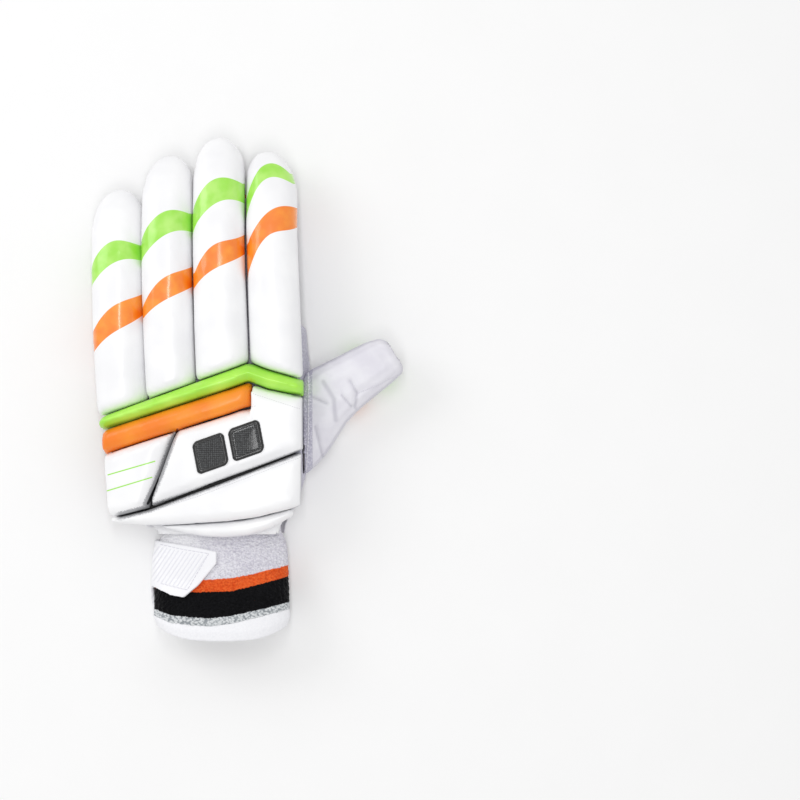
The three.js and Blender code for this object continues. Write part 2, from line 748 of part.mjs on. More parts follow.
// Elastic tape up the little finger's side, on the slanting wall, with a piping along each edge.
const crotch = handEdges[handEdges.length - 1].v;
const wallPoint = (v, share, out) => {
  const section = v < crotch ? handSection(v) : stallSection(fingers[0], v);
  const ring = sleeveRing(along(v), section, -out);
  const low = ring[0];
  const high = ring[ring.length - 1];
  return new THREE.Vector3().lerpVectors(low, high, share);
};
const tapeRun = { from: 0.075, to: 0.66, steps: 11 };
const strip = (low, high, gap, thick) => {
  const grid = (out) => {
    const rows = [];
    for (let i = 0; i <= tapeRun.steps; i++) {
      const v = mix(tapeRun.from, tapeRun.to, i / tapeRun.steps);
      rows.push([low, (low + high) / 2, high].map((share) => wallPoint(v, share, out)));
    }
    return rows;
  };
  return slab(grid(gap + thick), grid(gap));
};
add("side_tape", strip(0.18, 0.82, clearance, tapeThickness), black, 0.8);
add("piping_inner", strip(-0.02, 0.1, clearance, pipingDiameter), 0xf05f2d, 0.5);
add("piping_outer", strip(0.9, 1.02, clearance, pipingDiameter), 0xf05f2d, 0.5);

// Cuff: a knitted tube. Rows run from its hidden upper end to its mouth, as shares of its length,
// width and height. The part inside lies on the palm leather, and the rest on the strap.
const cuffTop = along(0.035);
const cuffMiddle = across(0.6125);
const cuffRows = [
  { at: 0, wide: 0.86, tall: 0.5, inside: 1 },
  { at: 0.18, wide: 0.905, tall: 0.53, inside: 1 },
  { at: 0.24, wide: 0.97, tall: 0.57, inside: 0 },
  { at: 0.36, wide: 1, tall: 0.68, inside: 0 },
  { at: 0.55, wide: 1, tall: 0.88, inside: 0 },
  { at: 0.8, wide: 1.02, tall: 1, inside: 0 },
  { at: 0.93, wide: 1.03, tall: 1, inside: 0 },
  { at: 1, wide: 0.98, tall: 0.96, inside: 0 },
];
const cuffSides = 30;
// Shares of the cuff's length over which its sag grows, and how fast it fades to the sides.
const sagging = { from: 0.36, to: 0.8, power: 2.6 };
function cuffPoint(at, turn, out) {
  const half = (follow(cuffRows, "at", "wide", at) * cuffWidth) / 2;
  const tall = (follow(cuffRows, "at", "tall", at) * cuffHeight) / 2;
  const soften = (n) => Math.sign(n) * Math.abs(n) ** 0.8;
  const x = cuffMiddle + (half + out) * soften(Math.cos(turn));
  const carried = mix(strapThickness, palmLift + leatherWall, follow(cuffRows, "at", "inside", at));
  const ease = mix(strapEase, clearance, follow(cuffRows, "at", "inside", at));
  const z = carried + ease + tall + (tall + out) * soften(Math.sin(turn));
  const sagged = THREE.MathUtils.clamp((at - sagging.from) / (sagging.to - sagging.from), 0, 1);
  const raised = cuffSag * sagged * Math.abs(Math.cos(turn)) ** sagging.power;
  return new THREE.Vector3(x, cuffTop - at * cuffLength + raised, z);
}
function cuffBody(out, from, to) {
  const rings = [];
  for (const at of [from, ...cuffRows.slice(1, -1).map((row) => row.at), to]) {
    const ring = [];
    for (let k = 0; k < cuffSides; k++) ring.push(cuffPoint(at, (k / cuffSides) * 2 * Math.PI, out));
    rings.push(ring);
  }
  return solid(loft(rings));
}
const openEnd = 0.02;
const cuff = cuffBody(0, 0, 1).subtract(cuffBody(-cuffWall, -openEnd, 1 + openEnd));
add("cuff", shape(cuff), 0xd7d4de, 0.95);

// Strap: across the palm side of the cuff, round the little finger's side and onto its back. Rows run
// from its tip to the end of the tab: degrees round the cuff, and its edges as shares of its width.
const strapRows = [
  { turn: 36, upper: 0.38, lower: 0.52 },
  { turn: 44, upper: 0.2, lower: 0.76 },
  { turn: 58, upper: 0.04, lower: 0.98 },
  { turn: 90, upper: 0, lower: 1 },
  { turn: 140, upper: 0, lower: 1 },
  { turn: 160, upper: 0, lower: 0.92 },
  { turn: 176, upper: 0, lower: 0.66 },
  { turn: 192, upper: 0.005, lower: 0.58 },
  { turn: 216, upper: 0.02, lower: 0.585 },
  { turn: 240, upper: 0.055, lower: 0.61 },
  { turn: 252, upper: 0.08, lower: 0.47 },
  { turn: 264, upper: 0.12, lower: 0.24 },
];
const strapAcross = 3;
const strapStep = 360 / cuffSides;
function strapGrid(out) {
  const rows = [];
  const first = strapRows[0].turn;
  const last = strapRows[strapRows.length - 1].turn;
  for (let turn = first; turn < last + strapStep / 2; turn += strapStep) {
    const edges = ["upper", "lower"].map((edge) => follow(strapRows, "turn", edge, turn));
    const [upper, lower] = edges.map((share) => (strapStart + share * strapWidth) / cuffLength);
    const row = [];
    for (let k = 0; k <= strapAcross; k++) {
      row.push(cuffPoint(mix(upper, lower, k / strapAcross), degrees(-turn), out));
    }
    rows.push(row);
  }
  return rows;
}
add("wrist_strap", slab(strapGrid(strapEase + strapThickness), strapGrid(strapEase)), white, 0.45);

// Pull loop beside the wrist, on the slanting wall.
const loopRadius = loopHole / 2 + loopCord / 2;
const loopPlace = { v: 0.02, share: 0.36 };
const loop = new THREE.TorusGeometry(loopRadius, loopCord / 2, 6, 14);
loop.scale(0.75, 1, 1);
const loopAt = (dv, share) => wallPoint(loopPlace.v + dv, share, 0);
const upWall = loopAt(0, 1).sub(loopAt(0, 0)).normalize();
const alongWall = loopAt(0.03, loopPlace.share).sub(loopAt(-0.03, loopPlace.share)).normalize();
const offWall = new THREE.Vector3().crossVectors(upWall, alongWall).normalize();
loop.applyMatrix4(new THREE.Matrix4().makeBasis(upWall, alongWall, offWall));
loop.translate(...wallPoint(loopPlace.v, loopPlace.share, 0).toArray());
loop.translate(...offWall.multiplyScalar(Math.sign(-offWall.x) * (loopCord / 2 + 2 * clearance)).toArray());
add("pull_loop", loop, white, 0.5);

// The origin is the middle of the base.
const bounds = new THREE.Box3().setFromObject(glove);
const middle = bounds.getCenter(new THREE.Vector3());
glove.position.set(-middle.x, -middle.y, -bounds.min.z);

export default glove;
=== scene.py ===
"""A left-hand cricket batting glove, lying palm down: the looks of each piece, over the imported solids."""
import json
import math
import random

import bpy
import numpy as np
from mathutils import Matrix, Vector
from mathutils.bvhtree import BVHTree


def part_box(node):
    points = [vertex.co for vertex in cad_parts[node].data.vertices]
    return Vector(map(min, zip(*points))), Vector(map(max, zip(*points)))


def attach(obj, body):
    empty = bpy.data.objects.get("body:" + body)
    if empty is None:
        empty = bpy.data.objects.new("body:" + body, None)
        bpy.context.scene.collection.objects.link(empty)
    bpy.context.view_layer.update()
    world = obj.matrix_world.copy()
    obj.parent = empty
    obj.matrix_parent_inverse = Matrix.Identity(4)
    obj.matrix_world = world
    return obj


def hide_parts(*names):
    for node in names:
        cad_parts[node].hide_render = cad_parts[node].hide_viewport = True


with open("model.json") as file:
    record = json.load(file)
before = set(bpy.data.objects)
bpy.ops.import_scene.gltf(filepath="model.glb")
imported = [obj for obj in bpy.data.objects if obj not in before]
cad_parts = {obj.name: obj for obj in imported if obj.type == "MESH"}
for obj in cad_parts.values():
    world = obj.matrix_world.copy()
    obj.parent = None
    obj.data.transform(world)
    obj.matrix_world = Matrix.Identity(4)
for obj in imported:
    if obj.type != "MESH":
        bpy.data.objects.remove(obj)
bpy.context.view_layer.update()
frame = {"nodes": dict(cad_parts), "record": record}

# Floor, light and camera
# A pale matt table, a white room, a narrow strip lamp over the glove and a broad soft one beside it.
# The camera looks straight down from 3 metres, as the picture was taken.
MM = 0.001


class Shade:
    """A socket of a material's nodes. Python's operators work on it as on a number and add Math nodes."""

    def __init__(self, tree, socket=None):
        self.tree = tree
        self.socket = socket

    def node(self, kind, settings=None, sockets=None, output=0):
        """Adds a node of that kind: its settings first, then values or links for its sockets."""
        made = self.tree.nodes.new("ShaderNode" + kind)
        for name, value in (settings or {}).items():
            setattr(made, name, value)
        for name, value in (sockets or {}).items():
            if isinstance(value, Shade):
                self.tree.links.new(value.socket, made.inputs[name])
            else:
                made.inputs[name].default_value = value
        return Shade(self.tree, made.outputs[output] if made.outputs else None)

    def maths(self, operation, *values):
        return self.node("Math", {"operation": operation}, dict(enumerate(values)))

    def __add__(self, other):
        return self.maths("ADD", self, other)

    def __radd__(self, other):
        return self.maths("ADD", other, self)

    def __sub__(self, other):
        return self.maths("SUBTRACT", self, other)

    def __rsub__(self, other):
        return self.maths("SUBTRACT", other, self)

    def __mul__(self, other):
        return self.maths("MULTIPLY", self, other)

    def __rmul__(self, other):
        return self.maths("MULTIPLY", other, self)

    def __truediv__(self, other):
        return self.maths("DIVIDE", self, other)

    def least(self, other):
        return self.maths("MINIMUM", self, other)

    def most(self, other):
        return self.maths("MAXIMUM", self, other)

    def size(self):
        return self.maths("ABSOLUTE", self)

    def wave(self):
        return self.maths("SINE", self)

    def rise(self, low, high):
        """0 below low, 1 above high, and a smooth step between them. High may be the smaller one."""
        sockets = {"Value": self, "From Min": low, "From Max": high}
        return self.node("MapRange", {"interpolation_type": "SMOOTHSTEP"}, sockets)

    def blend(self, below, above):
        """A colour: below where this mask is 0, above where it is 1."""
        return self.node("Mix", {"data_type": "RGBA"}, {0: self, 6: below, 7: above}, 2)

    def place(self):
        """The point of the surface, in millimetres, as a vector."""
        metres = self.node("TexCoord", output=3)
        return self.node("VectorMath", {"operation": "SCALE"}, {0: metres, "Scale": 1 / MM})

    def across(self):
        """The three coordinates of the point of the surface, in millimetres."""
        place = self.place()
        return [self.node("SeparateXYZ", sockets={0: place}, output=i) for i in range(3)]

    def up(self):
        """How far the surface faces up, from -1 to 1."""
        return self.node("SeparateXYZ", sockets={0: self.node("NewGeometry", output=1)}, output=2)

    def grain(self, size, detail=2.0, stretch=(1, 1, 1)):
        """Noise from 0 to 1 whose lumps are about size millimetres across."""
        place = self.node("VectorMath", {"operation": "MULTIPLY"}, {0: self.place(), 1: stretch})
        return self.node("TexNoise", sockets={"Vector": place, "Scale": 1 / size, "Detail": detail})

    def cells(self, size, stretch=(1, 1, 1)):
        """The distance from the middle of each of many cells that are about size millimetres across."""
        place = self.node("VectorMath", {"operation": "MULTIPLY"}, {0: self.place(), 1: stretch})
        return self.node("TexVoronoi", sockets={"Vector": place, "Scale": 1 / size})

    def marked(self, name):
        """What the mesh holds at its corners under that name."""
        return self.node("Attribute", {"attribute_name": name}, output=2)

    def stroke(self, start, end, half, pitch=0.0):
        """A mask of a straight line seen from above, half millimetres to each side, dashed at a pitch."""
        x, y, _ = self.across()
        run = Vector((end[0] - start[0], end[1] - start[1]))
        way = run.normalized()
        ahead = (x - start[0]) * way.x + (y - start[1]) * way.y
        aside = (y - start[1]) * way.x - (x - start[0]) * way.y
        inside = ahead.rise(-0.2, 0.2) * ahead.rise(run.length + 0.2, run.length - 0.2)
        line = aside.size().rise(half + 0.15, half - 0.15) * inside
        if pitch:
            return line * (ahead * (2 * math.pi / pitch)).wave().rise(-0.5, 0.1)
        return line


def finish(name, build):
    """A material: build is given its nodes, and gives its look, roughness, height in mm and other values."""
    made = bpy.data.materials.new(name)
    made.use_nodes = True
    made.node_tree.nodes.clear()
    shade = Shade(made.node_tree)
    look, roughness, height, values = build(shade)
    bump = shade.node("Bump", sockets={"Height": height, "Distance": MM})
    sockets = {"Base Color": look, "Roughness": roughness, "Normal": bump, **values}
    skin = shade.node("BsdfPrincipled", sockets=sockets)
    shade.node("OutputMaterial", sockets={"Surface": skin})
    return made


def colour(red, green, blue):
    """A colour as seen on a screen, 0 to 255, as the light that it stands for."""
    parts = [part / 255 for part in (red, green, blue)]
    return (*[p / 12.92 if p <= 0.04045 else ((p + 0.055) / 1.055) ** 2.4 for p in parts], 1.0)


def table_top(shade):
    speck = shade.grain(40.0)
    tone = speck.blend((0.94, 0.94, 0.94, 1), (0.96, 0.96, 0.96, 1))
    return tone, 0.9 + speck * 0.05, speck * 0.02, {"Specular IOR Level": 0.1}


FLOOR_HALF = 4.0
floor_mesh = bpy.data.meshes.new("floor")
floor_corners = [(-FLOOR_HALF, -FLOOR_HALF, 0), (FLOOR_HALF, -FLOOR_HALF, 0),
                 (FLOOR_HALF, FLOOR_HALF, 0), (-FLOOR_HALF, FLOOR_HALF, 0)]
floor_mesh.from_pydata(floor_corners, [], [(0, 1, 2, 3)])
floor = bpy.data.objects.new("floor", floor_mesh)
bpy.context.scene.collection.objects.link(floor)
floor_mesh.materials.append(finish("table_top", table_top))

room = bpy.data.worlds.new("room")
room.use_nodes = True
room.node_tree.nodes["Background"].inputs["Color"].default_value = (1.0, 1.0, 1.0, 1.0)
room.node_tree.nodes["Background"].inputs["Strength"].default_value = 0.71
bpy.context.scene.world = room
bpy.context.scene.view_settings.view_transform = "Standard"

LAMPS = [
    # name, place, aim, width, length, watts
    ("strip_lamp", (-0.02, -0.01, 1.30), (-0.02, -0.01, 0.0), 0.12, 1.00, 4.2),
    ("side_lamp", (-1.10, 0.70, 1.00), (0.0, 0.0, 0.0), 0.80, 0.80, 4.5),
]
for name, place, aim, width, length, watts in LAMPS:
    lamp = bpy.data.lights.new(name, "AREA")
    lamp.shape = "RECTANGLE"
    lamp.size = width
    lamp.size_y = length
    lamp.energy = watts
    holder = bpy.data.objects.new(name, lamp)
    holder.location = place
    holder.rotation_euler = (Vector(aim) - Vector(place)).to_track_quat("-Z", "Y").to_euler()
    holder.visible_camera = False
    bpy.context.scene.collection.objects.link(holder)

FRAME_MIDDLE = (0.0885, -0.0065)
FRAME_WIDTH = 0.4646
FRAME_LEVEL = 0.030
CAMERA_HEIGHT = 3.0
SENSOR = 36.0
lens = bpy.data.cameras.new("camera")
lens.sensor_width = SENSOR
lens.lens = SENSOR * CAMERA_HEIGHT / FRAME_WIDTH
camera = bpy.data.objects.new("camera", lens)
camera.location = (*FRAME_MIDDLE, FRAME_LEVEL + CAMERA_HEIGHT)
bpy.context.scene.collection.objects.link(camera)
bpy.context.scene.camera = camera


# Leather of the palm
# One piece of soft pale sheepskin, 1.6 mm thick, that is the front of the hand and of the four fingers.
# It is cut flat and sewn to the cloth back. Its fingers and the star in its middle are punched for air.
def points(piece):
    """The vertices of a piece, in millimetres."""
    flat = np.empty(len(piece.data.vertices) * 3, np.float32)
    piece.data.vertices.foreach_get("co", flat)
    return flat.reshape(-1, 3).astype(float) / MM


def facing(piece):
    """The direction that each vertex of a piece faces."""
    flat = np.empty(len(piece.data.vertices) * 3, np.float32)
    piece.data.vertex_normals.foreach_get("vector", flat)
    return flat.reshape(-1, 3).astype(float)


def put(piece, places):
    """Sets the vertices of a piece, in millimetres, and keeps them off the table."""
    places[:, 2] = np.maximum(places[:, 2], OFF_TABLE)
    piece.data.vertices.foreach_set("co", (places * MM).astype(np.float32).ravel())
    piece.data.update()


def raised(piece, heights):
    """Moves each vertex of a piece out along its facing by a height in millimetres."""
    put(piece, points(piece) + facing(piece) * np.asarray(heights)[:, None])


def settled(piece):
    """Applies the modifiers of a piece."""
    seen = bpy.context.evaluated_depsgraph_get()
    mesh = bpy.data.meshes.new_from_object(piece.evaluated_get(seen))
    rough = piece.data
    piece.modifiers.clear()
    piece.data = mesh
    bpy.data.meshes.remove(rough)


def rubbed(piece, rounds):
    """Rubs the facets out of a piece and keeps its size: each round draws it in and lets it out again."""
    places = points(piece)
    ends = np.empty(len(piece.data.edges) * 2, np.int32)
    piece.data.edges.foreach_get("vertices", ends)
    one, other = ends.reshape(-1, 2).T
    count = len(places)
    shared = np.bincount(one, minlength=count) + np.bincount(other, minlength=count)
    for _ in range(rounds):
        for pull in (DRAW_IN, -LET_OUT):
            around = np.empty_like(places)
            for axis in range(3):
                around[:, axis] = np.bincount(one, places[other, axis], count)
                around[:, axis] += np.bincount(other, places[one, axis], count)
            places = places + pull * (around / shared[:, None] - places)
    put(piece, places)


def frame_slot(node):
    """The material slot that the record gives a solid."""
    for part in frame["record"]["subparts"]:
        if part["node"] == node:
            return part["material_slot"]


def ready(piece, node, material):
    """Gives a piece its material and the place of its solid."""
    piece.data.materials.clear()
    piece.data.materials.append(material)
    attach(piece, "root")
    frame_slot(node)
    return piece


def remeshed(node, voxel, rounds, material, name=None):
    """A solid's shape in even quads, voxel millimetres across, with its facets rubbed smooth."""
    piece = bpy.data.objects.new(name or node + "_cover", frame["nodes"][node].data.copy())
    bpy.context.scene.collection.objects.link(piece)
    even = piece.modifiers.new("even", "REMESH")
    even.mode = "VOXEL"
    even.voxel_size = voxel * MM
    even.use_smooth_shade = True
    settled(piece)
    rubbed(piece, rounds)
    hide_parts(node)
    return ready(piece, node, material)


def mark(piece, name, values):
    """Stores a value for each vertex, which a material can read."""
    held = piece.data.attributes.new(name, "FLOAT", "POINT")
    held.data.foreach_set("value", np.asarray(values, np.float32))


def away(places, path):
    """How far each place lies from a path of straight runs, both as (x, y)."""
    nearest = np.full(len(places), np.inf)
    for start, end in zip(np.array(path[:-1], float), np.array(path[1:], float)):
        run = end - start
        share = np.clip((places - start) @ run / (run @ run), 0, 1)
        nearest = np.minimum(nearest, np.linalg.norm(places - start - share[:, None] * run, axis=1))
    return nearest


def bell(distance, width):
    """1 at distance 0, falling smoothly to 0 at about the width."""
    return np.exp(-((np.asarray(distance) / (width * 0.6)) ** 2))


def lumps(places, size, seed):
    """Smooth seeded waves from about -1 to 1, size millimetres long, at each place."""
    dice = random.Random(seed)
    total = np.zeros(len(places))
    waves = 14
    for _ in range(waves):
        heading = Vector((dice.gauss(0, 1), dice.gauss(0, 1), dice.gauss(0, 1))).normalized()
        length = size * dice.uniform(0.7, 1.6)
        total += np.sin(places @ np.array(heading) * (2 * math.pi / length) + dice.uniform(0, 2 * math.pi))
    return total / math.sqrt(waves)


def skin_of(piece):
    """The surface of a piece, in millimetres, for rays to meet."""
    corners = [Vector(place) for place in points(piece)]
    return BVHTree.FromPolygons(corners, [face.vertices for face in piece.data.polygons])


def met(skin, place, way):
    """Where a ray up or down through a place in plan first meets a surface, and the way it faces."""
    spot, normal, _, _ = skin.ray_cast(Vector((place[0], place[1], -way * 200.0)), Vector((0, 0, way)))
    return spot, normal


def along(path, step):
    """Places at even steps along a path of straight runs."""
    spots = []
    left = 0.0
    for start, end in zip(path[:-1], path[1:]):
        run = Vector(end) - Vector(start)
        while left < run.length:
            spots.append(Vector(start) + run * (left / run.length))
            left += step
        left -= run.length
    return spots


def grown(name, node, material, corners, faces):
    """A small extra piece that belongs to a solid."""
    corners = [tuple(corner) for corner in corners]
    mesh = bpy.data.meshes.new(name)
    mesh.from_pydata(corners, [], faces)
    mesh.polygons.foreach_set("use_smooth", [True] * len(mesh.polygons))
    piece = bpy.data.objects.new(name, mesh)
    bpy.context.scene.collection.objects.link(piece)
    put(piece, np.array(corners, float))
    return ready(piece, node, material)


def sewn(name, node, host, paths, way, pitch=2.6, thick=0.32):
    """Rows of stitches over a piece, seen from above (way -1) or below (way 1): capsules half sunk in it."""
    skin = skin_of(host)
    corners = []
    faces = []
    for path in paths:
        spots = along(path, pitch)
        for start, stop in zip(spots[:-1], spots[1:]):
            first, normal = met(skin, start, way)
            last, _ = met(skin, start.lerp(stop, STITCH_SHARE), way)
            if first is None or last is None or (last - first).length > STITCH_LEAP * pitch:
                continue
            run = (last - first).normalized()
            aside = run.cross(normal).normalized()
            rise = aside.cross(run)
            base = len(corners)
            corners.append(first - run * thick)
            for middle in (first, first.lerp(last, 0.5) + rise * thick * STITCH_RISE, last):
                for turn in range(THREAD_SIDES):
                    angle = turn * 2 * math.pi / THREAD_SIDES
                    corners.append(middle + (aside * math.cos(angle) + rise * math.sin(angle)) * thick)
            corners.append(last + run * thick)
            tip = len(corners) - 1
            for turn in range(THREAD_SIDES):
                after = (turn + 1) % THREAD_SIDES
                faces.append((base, base + 1 + after, base + 1 + turn))
                for ring in (0, 1):
                    low = base + 1 + ring * THREAD_SIDES
                    high = low + THREAD_SIDES
                    faces.append((low + turn, low + after, high + after, high + turn))
                last_ring = base + 1 + 2 * THREAD_SIDES
                faces.append((last_ring + turn, last_ring + after, tip))
    return grown(name, node, thread_finish, corners, faces)


def palm_leather(shade):
    cloudy = shade.grain(16.0, 3.0)
    pore = shade.grain(0.9, 3.0)
    fibre = shade.cells(1.6)
    tone = (cloudy * 0.7 + pore * 0.3).rise(0.3, 0.75)
    look = tone.blend(colour(219, 217, 224), colour(238, 237, 241))
    return look, 0.55 + pore * 0.25, pore * 0.10 + fibre * 0.07, {"Specular IOR Level": 0.3}


# Painted shade inside the punched holes: dark, where the glove's inside lies in shade.
def hole_shade(shade):
    fine = shade.grain(0.6)
    return fine.blend(colour(30, 29, 33), colour(52, 50, 56)), 0.9 + fine * 0.05, fine * 0.02, {}


def thread(shade):
    twist = shade.grain(0.4, 1.0)
    look = twist.blend(colour(206, 205, 214), colour(232, 231, 238))
    return look, 0.7 + twist * 0.1, twist * 0.02, {"Sheen Weight": 0.1}


OFF_TABLE = 0.03
DRAW_IN = 0.5
LET_OUT = 0.53
THREAD_SIDES = 6
STITCH_SHARE = 0.68
STITCH_LEAP = 1.6
STITCH_RISE = 0.3
PALM_CREASES = [
    # path, depth, width
    ([(-58, 6), (-40, 12), (-18, 14), (2, 8)], 0.5, 4.0),
    ([(-52, -32), (-30, -22), (-8, -20), (-4, -44)], 0.4, 5.0),
    ([(-40, -60), (-18, -52), (-6, -56)], 0.35, 4.0),
    ([(-50, 38), (-36, 42), (-12, 44), (16, 40)], 0.5, 3.5),
]
VENTS = [(15.9, 88.7), (17.0, 71.8), (16.5, 54.7), (-7.3, 91.0), (-7.6, 74.7), (-7.0, 55.8), (-32.5, 86.3),
         (-33.1, 75.3), (-31.2, 55.0), (-55.3, 63.7), (-56.7, 49.2)]
STAR = [(-30.0, -15.6), (-29.1, -3.0), (-39.3, -5.9), (-18.4, -6.8), (-28.6, -9.3), (-33.8, -11.0),
        (-23.4, -11.5), (-43.4, -15.1), (-35.8, -15.5), (-21.3, -16.4), (-14.3, -16.4), (-33.8, -20.4),
        (-23.3, -20.8), (-28.5, -22.4), (-38.7, -23.9), (-17.8, -25.2), (-27.9, -29.1)]
VENT_RADIUS = 0.9
STAR_RADIUS = 0.675
VENT_DEPTH = 0.5
VENT_DENT = 1.8
HOLE_SIDES = 12
HOLE_MIDDLE = -0.22
HOLE_RIM = -0.12
HOLE_BACK = 0.3
PALM_LUMP = 26.0
PALM_UNEVEN = 0.22
PALM_SEAMS = [
    [(-49.2, -83.0), (-20.0, -81.8), (22.3, -79.8)],
    [(-64.5, 37.0), (-63.0, 13.2), (-60.0, -25.6), (-57.0, -44.8), (-55.3, -63.9), (-51.2, -81.0)],
]
CROTCH = 20.0
STALLS = [
    # middle at the crotch, middle at the tip, where it ends
    (-56.3, -58.8, 79.9), (-29.6, -37.0, 103.7), (-5.0, -11.4, 115.0), (20.0, 15.3, 104.1),
]
STALL_OUTLINE = [
    # share of its half width, distance from its end
    (-1.0, None), (-1.0, 8.0), (-0.9, 3.0), (-0.56, 0.0), (0.56, 0.0), (0.9, 3.0), (1.0, 8.0), (1.0, None),
]


def round_stall(stall, half, inset, start):
    """A path up one side of a finger, round its end and down the other side."""
    base, tip, end = stall
    path = []
    for side, back in STALL_OUTLINE:
        y = start if back is None else end - back - inset
        middle = base + (tip - base) * (y - CROTCH) / (end - CROTCH)
        path.append((middle + side * (half - inset), y))
    return path


def corner_drawn(piece, pull):
    """Draws a piece's corner at the wrist, on the thumb's side, in towards the wristband."""
    places = points(piece)
    low = np.clip((WRIST_START - places[:, 1]) / WRIST_DEPTH, 0, 1)
    places[:, 0] -= pull * low * np.clip((places[:, 0] - CORNER_START) / CORNER_WIDTH, 0, 1)
    put(piece, places)


WRIST_START = -66.0
WRIST_DEPTH = 14.0
CORNER_START = 14.0
CORNER_WIDTH = 12.0
STITCH_INSET = 2.6
STALL_HALF = 11.2
PALM_SEAMS += [round_stall(stall, STALL_HALF, STITCH_INSET, 42.0) for stall in STALLS]
soft_leather = finish("soft_leather", palm_leather)
thread_finish = finish("thread", thread)
palm = remeshed("palm_leather", 1.0, 12, soft_leather)
corner_drawn(palm, pull=4.0)
palm_places = points(palm)
palm_under = np.clip(-facing(palm)[:, 2], 0, 1)
palm_relief = PALM_UNEVEN * lumps(palm_places, PALM_LUMP, seed=3)
for crease, depth, width in PALM_CREASES:
    palm_relief -= depth * bell(away(palm_places[:, :2], crease), width)
for hole in VENTS + STAR:
    palm_relief -= VENT_DEPTH * bell(np.linalg.norm(palm_places[:, :2] - hole, axis=1), VENT_DENT)
raised(palm, palm_relief * palm_under)

palm_skin = skin_of(palm)
# Each punched hole gets a small dark piece set into the leather: painted shade.
hole_corners = []
hole_faces = []
for hole in VENTS + STAR:
    spot, _ = met(palm_skin, hole, 1)
    if spot is not None:
        heart = len(hole_corners)
        radius = VENT_RADIUS if hole in VENTS else STAR_RADIUS
        hole_corners += [spot + Vector((0, 0, HOLE_MIDDLE)), spot + Vector((0, 0, HOLE_BACK))]
        for turn in range(HOLE_SIDES):
            angle = turn * 2 * math.pi / HOLE_SIDES
            hole_corners.append(spot + Vector((math.cos(angle) * radius, math.sin(angle) * radius, HOLE_RIM)))
            one, other = heart + 2 + turn, heart + 2 + (turn + 1) % HOLE_SIDES
            hole_faces += [(heart, other, one), (heart + 1, one, other)]
grown("palm_holes", "palm_leather", finish("hole_shade", hole_shade), hole_corners, hole_faces)
sewn("palm_seams", "palm_leather", palm, PALM_SEAMS, 1)


# Cloth back
# A fine knitted mesh in light grey that the padding is sewn to. It shows beside the index roll and between
# the fingers, turns white at the wrist, and a twisted pale braid runs down beside the panels.
BRAID = [(34.6, 62.0), (34.9, 40.0), (35.2, 12.0), (35.4, -4.0), (35.0, -30.0), (33.6, -50.0)]


def back_mesh(shade):
    _, y, _ = shade.across()
    hole = shade.cells(1.15)
    yarn = shade.grain(0.7, 2.0)
    tone = (hole * 1.2 + yarn * 0.5).rise(0.2, 1.1)
    look = tone.blend(colour(226, 224, 235), colour(186, 184, 200))
    wrist = y.rise(-62.0, -68.0)
    return wrist.blend(look, WHITE_SHADE), 0.75 + yarn * 0.1, 0.35 - hole * 0.3, {"Sheen Weight": 0.2}


WHITE_COVER = colour(250, 250, 251)
WHITE_SHADE = colour(244, 244, 246)
grey_mesh = finish("grey_mesh", back_mesh)
back = remeshed("back_fabric", 1.3, 8, grey_mesh)
corner_drawn(back, pull=7.0)
sewn("back_braid", "back_fabric", back, [BRAID], -1, 2.2, 0.6)


# Finger rolls
# Each is a half-round block of foam in a white coated cover, closed by a seam round its foot. A lime and an
# orange band of the same cover run slantwise over it. The curves give the bands' edges across each roll.
def stuffed(node, voxel, rounds, swell, material, name=None):
    """A pad: its solid's shape in even quads, blown up from inside by at most swell millimetres."""
    piece = remeshed(node, voxel, rounds, material, name)
    start = points(piece)
    cloth = piece.modifiers.new("stuffing", "CLOTH")
    cloth.settings.use_pressure = True
    cloth.settings.uniform_pressure_force = SWELL_PRESSURE
    cloth.settings.effector_weights.gravity = 0.0
    cloth.settings.quality = 4
    cloth.point_cache.frame_start = 1
    cloth.point_cache.frame_end = SWELL_FRAMES
    for number in range(1, SWELL_FRAMES + 1):
        bpy.context.scene.frame_set(number)
    settled(piece)
    moves = points(piece) - start
    far = np.linalg.norm(moves, axis=1)
    share = np.minimum(1.0, swell / np.maximum(far, 1e-6))
    put(piece, start + moves * share[:, None])
    bpy.context.scene.frame_set(1)
    kept_inside(piece, node)
    finer = piece.modifiers.new("finer", "SUBSURF")
    finer.levels = 1
    finer.render_levels = 1
    settled(piece)
    return piece


def kept_inside(piece, node):
    """Holds the sides of a pad within its solid, and lets its crown stand a little proud."""
    solid = BVHTree.FromPolygons(
        [v.co / MM for v in frame["nodes"][node].data.vertices],
        [p.vertices for p in frame["nodes"][node].data.polygons])
    places = points(piece)
    for i, (place, way) in enumerate(zip(places, facing(piece))):
        near, normal, _, gap = solid.find_nearest(Vector(place))
        proud = SIDE_PROUD + CROWN_PROUD * max(0.0, way[2])
        if (Vector(place) - near).dot(normal) > 0 and gap > proud:
            places[i] = near + (Vector(place) - near) * (proud / gap)
    put(piece, places)


